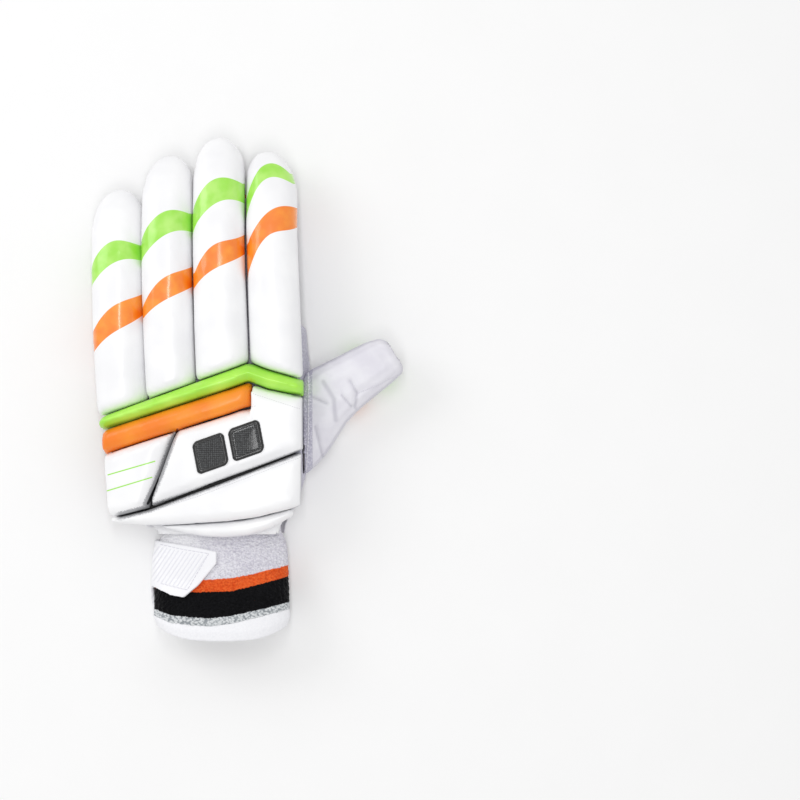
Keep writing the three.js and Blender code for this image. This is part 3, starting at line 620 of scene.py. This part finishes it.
SWELL_FRAMES = 20
SWELL_PRESSURE = 4.0
SIDE_PROUD = 0.18
CROWN_PROUD = 0.5
ROLL_BANDS = {
    # the roll: (its middle x, half its width, terms of the curve) for each edge of each band
    "roll_little": {
        "lime": ((-77.9, 13.9, 85.7, 3.8, -9.2, 3.5), (-77.8, 13.8, 72.8, 7.6, -6.3, 0.8)),
        "orange": ((-75.7, 13.2, 49.0, 7.3, -4.6, 2.6), (-74.7, 14.2, 34.1, 8.1, -1.9, 2.7))},
    "roll_ring": {
        "lime": ((-48.6, 13.4, 102.5, 5.9, -8.0, 1.8), (-47.8, 13.6, 88.9, 7.9, -5.8, 0.4)),
        "orange": ((-46.1, 13.6, 65.4, 7.2, -5.5, 3.5), (-45.8, 13.3, 52.1, 6.9, -1.7, 1.5))},
    "roll_middle": {
        "lime": ((-17.9, 13.8, 121.9, 4.4, -8.7, 2.1), (-17.0, 13.8, 108.0, 6.6, -7.1, 0.7)),
        "orange": ((-16.1, 13.3, 84.7, 4.9, -5.6, 4.7), (-16.1, 13.9, 70.6, 6.6, -2.3, 2.6))},
    "roll_index": {
        "lime": ((11.6, 12.0, 130.6, 3.5, -9.9, 1.7), (12.7, 12.7, 122.4, 3.9, -10.2, 3.4)),
        "orange": ((14.8, 13.1, 104.0, 7.1, -7.6, 1.6), (15.3, 14.1, 90.2, 5.6, -9.0, 7.1))},
}
LIME = colour(158, 230, 70)
LIME_PALE = colour(183, 240, 110)
ORANGE = colour(255, 152, 34)
ORANGE_DEEP = colour(248, 128, 20)
ROLL_SIDE = 1.08
BAND_EDGE = 0.12
SIDE_FALL = 0.55
SIDE_START = 9.0


def coated(shade, low, high):
    """Smooth coated cover: faint clouds in its colour, a fine leather grain and a soft gloss."""
    cloudy = shade.grain(22.0, 2.0)
    grain = shade.cells(0.9)
    fine = shade.grain(0.5, 3.0)
    look = cloudy.rise(0.3, 0.7).blend(low, high)
    return look, 0.30 + cloudy * 0.10 + fine * 0.05, grain * 0.012 + fine * 0.012


def roll_cover(node):
    """The cover of a roll: the bands' edges are curves across it, which drop down its outer side."""
    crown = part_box(node)[1].z / MM

    def build(shade):
        x, y, z = shade.across()
        white, rough, height = coated(shade, WHITE_SHADE, WHITE_COVER)
        fallen = (crown - SIDE_START - z).most(0.0) * SIDE_FALL

        def edge(middle, half, start, slope, bend, twist):
            share = ((x - middle) / half).least(ROLL_SIDE).most(-ROLL_SIDE)
            drop = fallen * share.rise(-0.3, -1.0)
            return share * (share * (share * twist + bend) + slope) + start - drop

        look = white
        coat = 0.25
        for name, below, above in (("lime", LIME, LIME_PALE), ("orange", ORANGE_DEEP, ORANGE)):
            upper, lower = (edge(*terms) for terms in ROLL_BANDS[node][name])
            band = (upper - y).rise(-BAND_EDGE, BAND_EDGE) * (y - lower).rise(-BAND_EDGE, BAND_EDGE)
            tint = shade.grain(9.0).rise(0.3, 0.7).blend(below, above)
            look = band.blend(look, tint)
            coat = band * 0.7 + coat
        return look, rough, height, {"Coat Weight": coat, "Coat Roughness": 0.14}

    return build


CHEVRON_PEAK = (0.8, 15.2)
CHEVRON_TURN = math.radians(20)
KNUCKLE_LIFTS = [
    # side, where it starts, over what length, most lift; depths below the chevron's edge, shares of the lift
    (-1, 10.0, 70.0, 2.9, (0.0, 10.6, 25.0, 50.0), (0.0, 1.0, 1.0, 0.0)),
    (1, 12.0, 20.0, 3.0, (-12.0, 0.0, 10.6, 38.0), (0.0, 0.5, 1.0, 0.0)),
]


def drawn_up(piece):
    """Draws what lies along the knuckle band up towards the ends of its two arms, where it narrows."""
    places = points(piece)
    x, y = places[:, 0], places[:, 1]
    below = CHEVRON_PEAK[1] - np.abs(x - CHEVRON_PEAK[0]) * math.tan(CHEVRON_TURN) - y
    for side, start, length, lift, depths, shares in KNUCKLE_LIFTS:
        places[:, 1] += lift * np.clip((side * x - start) / length, 0, 1) * np.interp(below, depths, shares)
    put(piece, places)


for node in ROLL_BANDS:
    drawn_up(stuffed(node, 1.9, 9, 1.0, finish(node + "_cover", roll_cover(node))))


# Fingertip caps
# A small dome of white cover over foam hangs under the end of each roll, in two halves with a seam between.
# A band of palm leather is wrapped below it and holds it to the finger.
def plain_cover(shade):
    look, rough, height = coated(shade, WHITE_SHADE, WHITE_COVER)
    return look, rough, height, SOFT_COAT


def pressed(piece, path, depth, width, way):
    """Presses a channel along a path into the side of a piece that faces up (way 1) or down (way -1)."""
    sides = np.clip(way * facing(piece)[:, 2] + 0.35, 0, 1)
    raised(piece, -depth * bell(away(points(piece)[:, :2], path), width) * sides)


SOFT_COAT = {"Coat Weight": 0.2, "Coat Roughness": 0.2}
white_cover = finish("white_cover", plain_cover)
FINGERS = ("little", "ring", "middle", "index")
for finger in FINGERS:
    cap = stuffed("cap_" + finger, 1.1, 8, 0.6, white_cover)
    low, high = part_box("cap_" + finger)
    middle = (low.x + high.x) / 2 / MM
    pressed(cap, [(middle, low.y / MM), (middle, high.y / MM)], 0.8, 1.6, -1)
    stuffed("cap_band_" + finger, 1.1, 4, 0.3, soft_leather)


# Padded panels of the back
# Four foam panels in coated covers are pressed and sewn on a grey base: an orange one, two white ones beside
# a slanting groove, and a white one above the wrist. Shade is painted into the grooves between them: black on
# the base, and dark or grey on the panels beside them.
GROOVES = [
    [(-40.5, -24.5), (-49.2, -47.1), (-58.0, -66.5)],
    [(30.6, -36.6), (-27.7, -59.0), (-56.7, -69.2), (-79.4, -75.0)],
]
# Painted shade: near black, for the grooves between the panels and for the base's top seen in them.
GROOVE_SHADE_BLACK = colour(18, 18, 22)
# Grey for the panels' stitches, and for the painted shade on the panels' right sides and beside the grooves.
STITCH_AND_SHADE_GREY = colour(120, 121, 126)
PINSTRIPES = [((-81.1, -50.0), (-53.2, -41.9)), ((-81.7, -59.3), (-55.0, -51.2))]
PANEL_STITCHES = [((5.0, -9.9), (-39.0, -24.6)), ((3.4, -2.8), (30.5, -11.6)),
                  ((31.0, -39.6), (-27.0, -61.8)), ((-27.0, -61.8), (-74.0, -76.4))]
SHADE_SHARE = 0.7
SHADE_HALF = 1.2
SHADE_WIDENS = (-30.0, -60.0)
SHADE_STARTS = (-78.0, -73.0)
PANEL_RIM = (24.0, 28.0)


def panel_cover(low, high, groove_shade_colour, stitched):
    """A panel's coated cover, with painted shade where the mesh is marked as near a groove."""

    def build(shade):
        look, rough, height = coated(shade, low, high)
        speckle = shade.grain(0.8, 1.0)
        if stitched:
            x, _, _ = shade.across()
            for start, end in PINSTRIPES:
                look = shade.stroke(start, end, 0.35).blend(look, LIME)
            for start, end in PANEL_STITCHES:
                look = (shade.stroke(start, end, 0.12, 1.4) * 0.55).blend(look, STITCH_AND_SHADE_GREY)
            # Painted shade: towards the right edge, the panels' sides are greyed where they face away from
            # the top.
            side = shade.up().rise(0.45, 0.1) * x.rise(*PANEL_RIM)
            look = (side * SHADE_SHARE).blend(look, STITCH_AND_SHADE_GREY)
            # Painted shade: a speckled grey band on the panels beside the grooves, wider towards the left.
            gap = shade.marked("gap") + (speckle - 0.5) * 2.0
            wide = x.rise(*SHADE_WIDENS) * 0.7 + SHADE_HALF
            painted_shade = (gap - wide).rise(0.9, -0.2) * x.rise(*SHADE_STARTS)
            look = (painted_shade * SHADE_SHARE).blend(look, STITCH_AND_SHADE_GREY)
        # Painted shade: near a groove, where the panel's wall faces sideways, it is painted dark.
        look = (shade.marked("gap").rise(0.8, 0.5) * shade.up().rise(0.9, 0.6)).blend(look, groove_shade_colour)
        return look, rough, height, SOFT_COAT

    return build


panel_white = finish("panel_white", panel_cover(WHITE_SHADE, WHITE_COVER, GROOVE_SHADE_BLACK, True))
# The orange panel's painted shade in its grooves is a deep brown-orange.
panel_orange = finish("panel_orange", panel_cover(ORANGE_DEEP, ORANGE, colour(150, 60, 10), False))
GROOVE_CLOSED = 0.7
for node, cover in (("orange_panel", panel_orange), ("left_panel", panel_white),
                    ("centre_panel", panel_white), ("bottom_panel", panel_white)):
    panel = stuffed(node, 1.4, 8, 0.7, cover)
    gap = np.minimum(*[away(points(panel)[:, :2], groove) for groove in GROOVES])
    mark(panel, "gap", gap)
    level = facing(panel)[:, 2]
    raised(panel, GROOVE_CLOSED * bell(gap, 3.0) * np.clip(1 - np.abs(level), 0, 1))
    drawn_up(panel)


def base_cover(shade):
    x, _, _ = shade.across()
    grain = shade.cells(1.0)
    fine = shade.grain(0.6)
    side = shade.grain(8.0).blend(colour(138, 139, 153), colour(150, 151, 165))
    # Painted shade: away from the wrist seam and the right edge, the base's up-facing top is painted near
    # black.
    painted_shade = shade.up().rise(0.35, 0.6) * shade.marked("seam").rise(3.0, 5.0) * x.rise(29.0, 27.0)
    return painted_shade.blend(side, GROOVE_SHADE_BLACK), 0.5 + fine * 0.1, grain * 0.03 + fine * 0.02, {}


WRIST_SEAM = [(27.9, -72.8), (23.4, -73.2), (-1.0, -75.7), (-27.7, -78.1), (-59.0, -79.4), (-79.4, -76.1)]
base = remeshed("base_pad", 1.2, 6, finish("base_cover", base_cover))
mark(base, "seam", away(points(base)[:, :2], WRIST_SEAM))


# Knuckle band
# A padded lime-green tube of coated cover, bent into a wide chevron over the knuckles, between the rolls and
# the panels.
def band_cover(shade):
    look, rough, height = coated(shade, colour(160, 232, 62), colour(190, 248, 96))
    return look, rough, height, {"Coat Weight": 0.3, "Coat Roughness": 0.15}


drawn_up(stuffed("knuckle_band", 1.4, 8, 0.8, finish("band_cover", band_cover)))


# Raised blocks
# Two plain moulded black blocks on the middle panel, with rounded corners, a smooth rim and a sunk field
# with a fine cross hatch.
def block_rubber(shade):
    x, y, _ = shade.across()
    pitch = 2 * math.pi / HATCH_PITCH
    field = shade.marked("field")
    hatch = ((x + y) * pitch).wave() * ((x - y) * pitch).wave() * field
    speck = shade.grain(0.9, 3.0)
    look = (hatch * 0.35 + speck * field).rise(0.35, 0.85).blend(colour(8, 8, 10), colour(84, 86, 88))
    return look, 0.22 + speck * 0.2, hatch * 0.2 + speck * 0.02, {"Coat Weight": 0.4}


BLOCK_TURN = math.radians(20)
BLOCK_CORNER = 4.0
BLOCK_RIM = 1.8
BLOCK_SUNK = 0.35
BLOCK_BEVEL = 0.8
BLOCK_SLANT = 1 / 6
HATCH_PITCH = 2.2
block_finish = finish("block_rubber", block_rubber)
for node in ("badge_block_1", "badge_block_2"):
    block = remeshed(node, 0.45, 4, block_finish)
    places = points(block)
    middle = (places.max(axis=0) + places.min(axis=0)) / 2
    right = np.array([math.cos(BLOCK_TURN), math.sin(BLOCK_TURN)])
    upward = np.array([-right[1], right[0]])
    flat = places[:, :2] - middle[:2]
    rise = flat @ upward
    aside = flat @ right - rise * BLOCK_SLANT
    straight_wide = np.abs(aside).max() - BLOCK_CORNER
    straight_tall = np.abs(rise).max() - BLOCK_CORNER
    over = np.stack([np.abs(aside) - straight_wide, np.abs(rise) - straight_tall], axis=1)
    beyond = np.linalg.norm(np.maximum(over, 0), axis=1)
    pull = np.where(beyond > BLOCK_CORNER, BLOCK_CORNER / np.maximum(beyond, 1e-6), 1.0)
    new_over = np.maximum(over, 0) * pull[:, None] + np.minimum(over, 0)
    new_aside = np.sign(aside) * (new_over[:, 0] + straight_wide)
    new_rise = np.sign(rise) * (new_over[:, 1] + straight_tall)
    new_aside += new_rise * BLOCK_SLANT
    places[:, :2] = middle[:2] + np.outer(new_aside, right) + np.outer(new_rise, upward)
    inside = BLOCK_CORNER - np.linalg.norm(np.maximum(new_over, 0), axis=1)
    inside = np.where((new_over < 0).all(axis=1), BLOCK_CORNER - new_over.max(axis=1), inside)
    field = np.clip((inside - BLOCK_RIM) / BLOCK_BEVEL, 0, 1)
    places[:, 2] -= BLOCK_SUNK * field * np.clip(facing(block)[:, 2], 0, 1)
    mark(block, "field", field)
    put(block, places)


# Wrist lip
# A thin padded tongue of white cover, sewn in along the bottom panel's lower edge. It comes out from under
# the panel and lies over the wristband.
LIP_TUCKED = 0.6
lip = stuffed("wrist_lip", 1.0, 6, 0.5, white_cover)
put(lip, points(lip) + np.array([0.0, LIP_TUCKED, LIP_TUCKED]))


# Thumb
# The stall is a tube of smooth light grey leather with a seam along its lower edge and creases where it
# bends. Two pads with slanting bands protect it on the palm's side.
def thumb_leather(shade):
    x, _, _ = shade.across()
    cloudy = shade.grain(14.0, 3.0)
    pore = shade.grain(0.7, 3.0)
    # Painted shade: the leather is greyed where it faces sideways, away from the top.
    side_shade = shade.up().rise(0.75, 0.1) * 0.5
    look = cloudy.rise(0.25, 0.75).blend(colour(222, 220, 229), colour(234, 233, 239))
    look = side_shade.blend(look, colour(186, 184, 196))
    # Painted shade: the leather is darkened in its creases.
    look = (shade.marked("crease").rise(0.0, 1.0) * 0.4).blend(look, colour(160, 158, 172))
    mesh, _, weave, _ = back_mesh(shade)
    gusset = x.rise(GUSSET_EDGE + 0.2, GUSSET_EDGE - 0.2)
    height = pore * 0.06 * (1.0 - gusset) + weave * gusset
    return gusset.blend(look, mesh), 0.45 + pore * 0.2, height, {"Specular IOR Level": 0.4}


GUSSET_EDGE = 37.6
THUMB_CREASES = [
    # path, depth, width
    ([(59.4, 4.5), (63.7, -2.7), (62.0, -10.4)], 1.3, 2.2),
    ([(37.7, -5.1), (45.4, -8.6)], 0.8, 2.2),
    ([(54.5, -3.8), (60.0, -9.8)], 0.8, 2.0),
    ([(39.0, -22.1), (43.9, -40.6)], 1.0, 2.2),
    ([(44.0, 4.0), (50.0, -6.0), (51.0, -18.0)], 0.35, 4.0),
]
THUMB_SEAM = [(87.0, 8.0), (76.0, 2.4), (63.7, -2.7), (60.0, -9.0)]
THUMB_ROOT = (36.7, -19.4)
THUMB_TURN = math.radians(34)
THUMB_REACH = 66.0
THUMB_FULLER = 1.6
THUMB_MIDDLE = 6.6
THUMB_ROUND = 0.76
THUMB_AHEAD = np.array([math.cos(THUMB_TURN), math.sin(THUMB_TURN)])
THUMB_ASIDE = np.array([-math.sin(THUMB_TURN), math.cos(THUMB_TURN)])
THUMB_LUMP = 20.0
THUMB_UNEVEN = 0.25
SEAM_DEPTH = 0.4
SEAM_WIDTH = 1.6
FULL_FROM = 0.08
FULL_WITHIN = 0.2


def beside_thumb(places):
    """How far places lie along the thumb's line, as shares of its reach, and beside it in millimetres."""
    flat = places[:, :2] - THUMB_ROOT
    return flat @ THUMB_AHEAD / THUMB_REACH, flat @ THUMB_ASIDE - THUMB_MIDDLE


thumb = remeshed("thumb_leather", 0.9, 14, finish("thumb_leather", thumb_leather))
thumb_places = points(thumb)
thumb_facing = facing(thumb)
thumb_relief = THUMB_UNEVEN * lumps(thumb_places, THUMB_LUMP, seed=8)
# How near each vertex lies to a crease, which the leather's material paints as shade.
crease_shade = np.zeros(len(thumb_places))
for crease, depth, width in THUMB_CREASES:
    distance = away(thumb_places[:, :2], crease)
    crease_shade = np.maximum(crease_shade, bell(distance, width * 0.6))
    thumb_relief -= depth * bell(distance, width)
mark(thumb, "crease", crease_shade)
thumb_relief -= SEAM_DEPTH * bell(away(thumb_places[:, :2], THUMB_SEAM), SEAM_WIDTH)
ahead, aside = beside_thumb(thumb_places)
outward = np.sign(aside) * (thumb_facing[:, :2] @ THUMB_ASIDE)
tip_heart = THUMB_ROOT + THUMB_AHEAD * THUMB_ROUND * THUMB_REACH + THUMB_ASIDE * THUMB_MIDDLE
spokes = thumb_places[:, :2] - tip_heart
spokes /= np.maximum(np.linalg.norm(spokes, axis=1), 1e-6)[:, None]
outward = np.where(ahead > THUMB_ROUND, (thumb_facing[:, :2] * spokes).sum(axis=1), outward)
fuller = THUMB_FULLER * np.clip(outward, 0, 1) * np.clip((ahead - FULL_FROM) / FULL_WITHIN, 0, 1)
raised(thumb, thumb_relief * np.clip(thumb_facing[:, 2], 0, 1) + fuller)
sewn("thumb_seam", "thumb_leather", thumb, [THUMB_SEAM], -1, 2.4, 0.26)
sewn("thumb_braid", "thumb_leather", thumb, [BRAID], -1, 2.2, 0.5)

THUMB_BANDS = {
    # the pad: colour, from, to, slant, and the side of the thumb's line that the band stops at
    "thumb_tip_pad": [(LIME, 0.655, 0.80, 0.004, -60.0, 60.0), (ORANGE, 0.40, 0.53, -0.004, -60.0, 6.0)],
    "thumb_base_pad": [(ORANGE, 0.36, 0.60, -0.004, -60.0, 2.0)],
}


def thumb_pad_cover(bands):
    def build(shade):
        x, y, _ = shade.across()
        look, rough, height = coated(shade, WHITE_SHADE, WHITE_COVER)
        dx, dy = x - THUMB_ROOT[0], y - THUMB_ROOT[1]
        ahead = (dx * math.cos(THUMB_TURN) + dy * math.sin(THUMB_TURN)) / THUMB_REACH
        aside = dy * math.cos(THUMB_TURN) - dx * math.sin(THUMB_TURN)
        for tint, start, end, slant, low, high in bands:
            place = ahead + aside * slant
            band = place.rise(start - 0.003, start + 0.003) * place.rise(end + 0.003, end - 0.003)
            band = band * aside.rise(low - 0.3, low + 0.3) * aside.rise(high + 0.3, high - 0.3)
            look = band.blend(look, tint)
        return look, rough, height, SOFT_COAT

    return build


THUMB_TUCK = 0.84
THUMB_END = 0.93
END_PULL = 0.85
PALM_SIDE = 36.9
for node, bands in THUMB_BANDS.items():
    pad = stuffed(node, 1.4, 6, 0.6, finish(node + "_cover", thumb_pad_cover(bands)))
    pad_places = points(pad)
    ahead, aside = beside_thumb(pad_places)
    over = np.maximum(ahead - THUMB_END, 0) * END_PULL * THUMB_REACH
    pad_places[:, :2] += np.outer((THUMB_TUCK - 1) * aside, THUMB_ASIDE)
    pad_places[:, :2] -= np.outer(over, THUMB_AHEAD)
    pad_places[:, 0] = np.maximum(pad_places[:, 0], PALM_SIDE)
    put(pad, pad_places)


# Reinforcement of the palm
# A second layer of palm leather from the crotch of the thumb to the index finger. It is sewn flat on the
# palm, where the bat's handle rubs, and rows of stitches edge it.
PATCH_SEAMS = [
    [(-3.6, 31.0), (-3.4, -20.0), (-2.8, -44.0), (0.0, -60.0), (4.0, -67.0), (10.0, -69.5)],
    [(22.0, 31.0), (25.0, 12.0), (25.4, -10.0), (25.0, -40.0), (22.0, -60.0)],
    [(-0.4, 0.5), (5.4, 8.0), (11.8, 9.2), (18.6, 3.9), (24.0, -5.5)],
    [(1.0, -5.0), (6.0, 2.5), (11.4, 4.0), (16.6, 0.0), (22.0, -9.0)],
]
PATCH_LEVEL = 0.35
patch = remeshed("palm_patch", 0.6, 3, soft_leather)
patch_places = points(patch)
patch_places[:, 2] = np.maximum(patch_places[:, 2], PATCH_LEVEL)
put(patch, patch_places)
sewn("patch_seams", "palm_patch", patch, PATCH_SEAMS, 1, 2.6, 0.28)


# Tape, piping and pull loop on the little finger's side
# Black elastic with a pale chain of stitches runs along the glove's side between two orange pipings of
# folded cloth, sewn into the seam of palm and back. A loop of palm leather hangs at its wrist end.
def elastic(shade):
    _, y, _ = shade.across()
    rib = (y * (2 * math.pi / 1.1)).wave()
    fine = shade.grain(0.5)
    look = (rib * 0.3 + fine).rise(0.2, 1.0).blend(colour(12, 12, 15), colour(40, 40, 46))
    side = shade.marked("side")
    bend = (y * (math.pi / 4.0)).wave() * 0.22
    chain = (side - bend).size().least((side + bend).size()).rise(0.17, 0.10)
    look = chain.blend(look, colour(214, 214, 220))
    return look, 0.7 + fine * 0.1, rib * 0.08 + fine * 0.04 + chain * 0.4, {"Sheen Weight": 0.2}


def piping_cloth(shade):
    _, y, z = shade.across()
    twill = ((y + z) * (2 * math.pi / 0.8)).wave()
    fine = shade.grain(1.0)
    look = fine.rise(0.3, 0.7).blend(colour(226, 78, 36), colour(246, 108, 58))
    return look, 0.6 + fine * 0.1, twill * 0.03, {"Sheen Weight": 0.1}


TAPE_ROWS = 60
tape = remeshed("side_tape", 0.5, 6, finish("elastic", elastic))
tape_places = points(tape)
order = np.argsort(tape_places[:, 1])
rows = np.array_split(order, TAPE_ROWS)
row_y = [tape_places[row, 1].mean() for row in rows]
row_low = [tape_places[row, 2].min() for row in rows]
row_high = [tape_places[row, 2].max() for row in rows]
tape_low = np.interp(tape_places[:, 1], row_y, row_low)
tape_high = np.interp(tape_places[:, 1], row_y, row_high)
mark(tape, "side", (tape_places[:, 2] - (tape_low + tape_high) / 2) / (tape_high - tape_low) * 2)
piping_finish = finish("piping_cloth", piping_cloth)
for node in ("piping_inner", "piping_outer"):
    remeshed(node, 0.5, 6, piping_finish)


def cord(name, node, path, level, radius, material):
    """A thin round cord along a path seen from above, at one level."""
    line = np.array([[*spot] for spot in along(path, radius)])
    for _ in range(CORD_ROUNDS):
        line[1:-1] = (line[:-2] + 2 * line[1:-1] + line[2:]) / 4
    corners = []
    faces = []
    for number, spot in enumerate(line):
        run = line[min(number + 1, len(line) - 1)] - line[max(number - 1, 0)]
        aside = np.array([-run[1], run[0]]) / np.linalg.norm(run)
        thick = radius * (CORD_TIP if number in (0, len(line) - 1) else 1.0)
        for turn in range(CORD_SIDES):
            angle = turn * 2 * math.pi / CORD_SIDES
            flat = spot + aside * math.cos(angle) * thick
            corners.append((*flat, level + math.sin(angle) * thick))
    for low in range(0, len(corners) - CORD_SIDES, CORD_SIDES):
        for turn in range(CORD_SIDES):
            after = (turn + 1) % CORD_SIDES
            faces.append((low + turn, low + after, low + after + CORD_SIDES, low + turn + CORD_SIDES))
    faces += [tuple(range(CORD_SIDES - 1, -1, -1)), tuple(range(len(corners) - CORD_SIDES, len(corners)))]
    return grown(name, node, material, corners, faces)


SEAM_LEVEL = 6.7
TIP_CORD = 0.8
TIP_LENGTH = 26.0
CORD_SIDES = 8
CORD_ROUNDS = 6
CORD_TIP = 0.4
for finger, stall in zip(FINGERS[:3], STALLS[:3]):
    path = round_stall(stall, STALL_HALF + TIP_CORD / 2, 0.0, stall[2] - TIP_LENGTH)
    cord("tip_piping_" + finger, "piping_inner", path, SEAM_LEVEL, TIP_CORD, piping_finish)
LOOP_TUCKED = 4.0
loop = remeshed("pull_loop", 0.6, 8, soft_leather)
put(loop, points(loop) + np.array([0.0, LOOP_TUCKED, 0.0]))


# Wristband
# A tube of knitted towelling, 3 mm thick: white loops above, an orange and a black stripe, a marled grey one
# and a smooth white hem. The stripes sag towards the middle of the wrist.
CUFF_LINES = {
    # edge: (x, y) points along it, on the back
    "orange_top": [(-55.0, -111.0), (-24.8, -110.9), (-9.1, -109.8), (2.5, -107.5), (23.1, -102.8)],
    "black_top": [(-55.0, -115.5), (-48.0, -116.6), (-30.0, -117.9), (-9.1, -117.3), (5.4, -113.8),
                  (23.1, -109.2)],
    "grey_top": [(-54.2, -127.8), (-44.7, -131.2), (-32.9, -132.4), (-21.1, -133.0), (-9.2, -131.5),
                 (8.6, -127.6), (23.4, -124.1)],
    "hem_top": [(-54.2, -131.8), (-44.7, -135.6), (-32.9, -137.0), (-21.1, -137.6), (-9.2, -136.0),
                (8.6, -131.8), (23.4, -128.0)],
}


def towelling(shade):
    x, _, _ = shade.across()
    loops = shade.cells(1.6, (1.0, 1.3, 1.0))
    fluff = shade.grain(1.1, 3.0)
    cloudy = shade.grain(12.0)
    height = 0.5 - loops * 0.7 + fluff * 0.3
    tone = (fluff * 0.8 + cloudy * 0.3 - loops * 0.25).rise(0.1, 0.7)
    ragged = (fluff - 0.5) * 1.6
    lilac = tone.blend(colour(198, 195, 208), colour(238, 237, 243))
    white = x.rise(-8.0, -44.0).blend(lilac, tone.blend(colour(226, 225, 231), colour(247, 247, 249)))
    orange = tone.blend(colour(206, 66, 20), colour(246, 112, 52))
    black = tone.blend(colour(3, 3, 4), colour(18, 18, 21))
    grey = (loops * 1.6 + fluff).rise(1.0, 1.8).blend(colour(224, 227, 229), colour(150, 155, 160))
    hem = fluff.rise(0.2, 0.8).blend(colour(240, 240, 244), colour(247, 247, 250))
    below = {name: (shade.marked(name) + ragged).rise(-0.25, 0.25) for name in CUFF_LINES}
    look = below["orange_top"].blend(white, orange)
    look = below["black_top"].blend(look, black)
    look = below["grey_top"].blend(look, grey)
    look = below["hem_top"].blend(look, hem)
    height = height * (1.0 - below["hem_top"] * 0.85)
    return look, 0.9 + fluff * 0.05, height, {"Sheen Weight": 0.05, "Specular IOR Level": 0.1}


LOOP_SIZE = 2.0
LOOP_HEIGHT = 0.3
HEM_LOOPS = 0.12
CUFF_HALF = (38.0, 18.0)
cuff = remeshed("cuff", 0.75, 8, finish("towelling", towelling))
cuff_places = points(cuff)
lines = {}
for name, line in CUFF_LINES.items():
    xs, ys = zip(*line)
    lines[name] = np.interp(cuff_places[:, 0], xs, ys) - cuff_places[:, 1]
    mark(cuff, name, lines[name])
cuff_middle = (cuff_places.max(axis=0) + cuff_places.min(axis=0)) / 2
cuff_facing = facing(cuff)
from_middle = cuff_places - cuff_middle
cuff_outside = cuff_facing[:, 0] * from_middle[:, 0] / CUFF_HALF[0]
cuff_outside = np.clip(cuff_outside + cuff_facing[:, 2] * from_middle[:, 2] / CUFF_HALF[1], 0, 1)
looped = np.where(lines["hem_top"] < 0, 1.0, HEM_LOOPS)
cuff_relief = LOOP_HEIGHT * lumps(cuff_places, LOOP_SIZE, seed=21)
raised(cuff, cuff_relief * np.clip(cuff_outside * 2, 0, 1) * looped)


# Closing strap
# A stiff strap of embossed white cover, 2 mm thick, wraps the wristband. Slanting ridges fill it, a smooth
# border runs round it and stitches hold the border. On the palm's side it has an orange bar.
TAB_OUTLINE = [(-60.0, -87.5), (-53.8, -87.7), (-38.8, -90.6), (-21.1, -93.5), (-18.4, -95.8),
               (-33.5, -120.2), (-53.0, -115.6), (-60.0, -114.0)]
STRAP_OUTLINE = [(-62.0, -87.0), (-53.5, -87.4), (7.6, -93.1), (9.5, -95.0), (18.2, -117.0), (17.6, -120.2),
                 (6.3, -143.4), (-39.9, -142.3), (-52.2, -138.8), (-62.0, -128.0)]
STRAP_BORDER = 3.2
RIDGE_PITCH = 2.2
RIDGE_WAY = (0.83, -0.56)
RIDGE_HEIGHT = 0.22
RIDGE_END = 0.6
TAB_REACH = 3.8
TAB_FOLD = -50.0
TAB_LENGTH = 28.0
STRAP_MIDDLE = 20.0
STRAP_BAR = ((2.5, -96.3), (10.1, -110.1))


def strap_cover(shade):
    _, _, z = shade.across()
    fine = shade.grain(0.6)
    ridge = shade.marked("ridge")
    # Painted shade and highlight: the cover is darker in the troughs of its ridges and lighter on their
    # crests.
    look = (ridge * 0.5 + fine * 0.4).rise(-0.4, 0.4).blend(colour(226, 226, 232), colour(247, 247, 250))
    below = z.rise(STRAP_MIDDLE, STRAP_MIDDLE - 2.0)
    look = (shade.stroke(*STRAP_BAR, 1.5) * below).blend(look, ORANGE_DEEP)
    return look, 0.4 + fine * 0.1, fine * 0.02, {"Coat Weight": 0.1}


strap = remeshed("wrist_strap", 0.6, 10, finish("strap_cover", strap_cover))
strap_places = points(strap)
strap_facing = facing(strap)
on_back = strap_places[:, 2] > STRAP_MIDDLE
tab_reach = TAB_REACH * np.clip((strap_places[:, 0] - TAB_FOLD) / TAB_LENGTH, 0, 1)
strap_places[:, 0] += np.where(on_back, tab_reach, 0.0)
put(strap, strap_places)
inset = np.where(on_back, away(strap_places[:, :2], TAB_OUTLINE), away(strap_places[:, :2], STRAP_OUTLINE))
flatness = np.clip(np.abs(strap_facing[:, 2]) * 1.5, 0, 1)
stretch = np.clip((inset - STRAP_BORDER) / RIDGE_END, 0, 1) * flatness
ridges = np.sin((strap_places[:, :2] @ np.array(RIDGE_WAY)) * (2 * math.pi / RIDGE_PITCH)) * stretch
strap_outside = np.where(on_back, strap_facing[:, 2] > 0, strap_facing[:, 2] < 0)
mark(strap, "ridge", ridges)
raised(strap, np.where(strap_outside, RIDGE_HEIGHT * ridges, 0.0))
TAB_STITCHES = [(-51.0, -90.6), (-38.8, -93.2), (-22.6, -95.8), (-34.8, -116.6), (-51.0, -112.8)]
STRAP_STITCHES = [(-49.0, -90.3), (5.6, -95.4), (15.4, -117.6), (4.8, -140.6), (-39.0, -139.6),
                  (-48.0, -137.0)]
sewn("tab_stitches", "wrist_strap", strap, [TAB_STITCHES], -1, 2.4, 0.22)
sewn("strap_stitches", "wrist_strap", strap, [STRAP_STITCHES], 1, 2.4, 0.22)
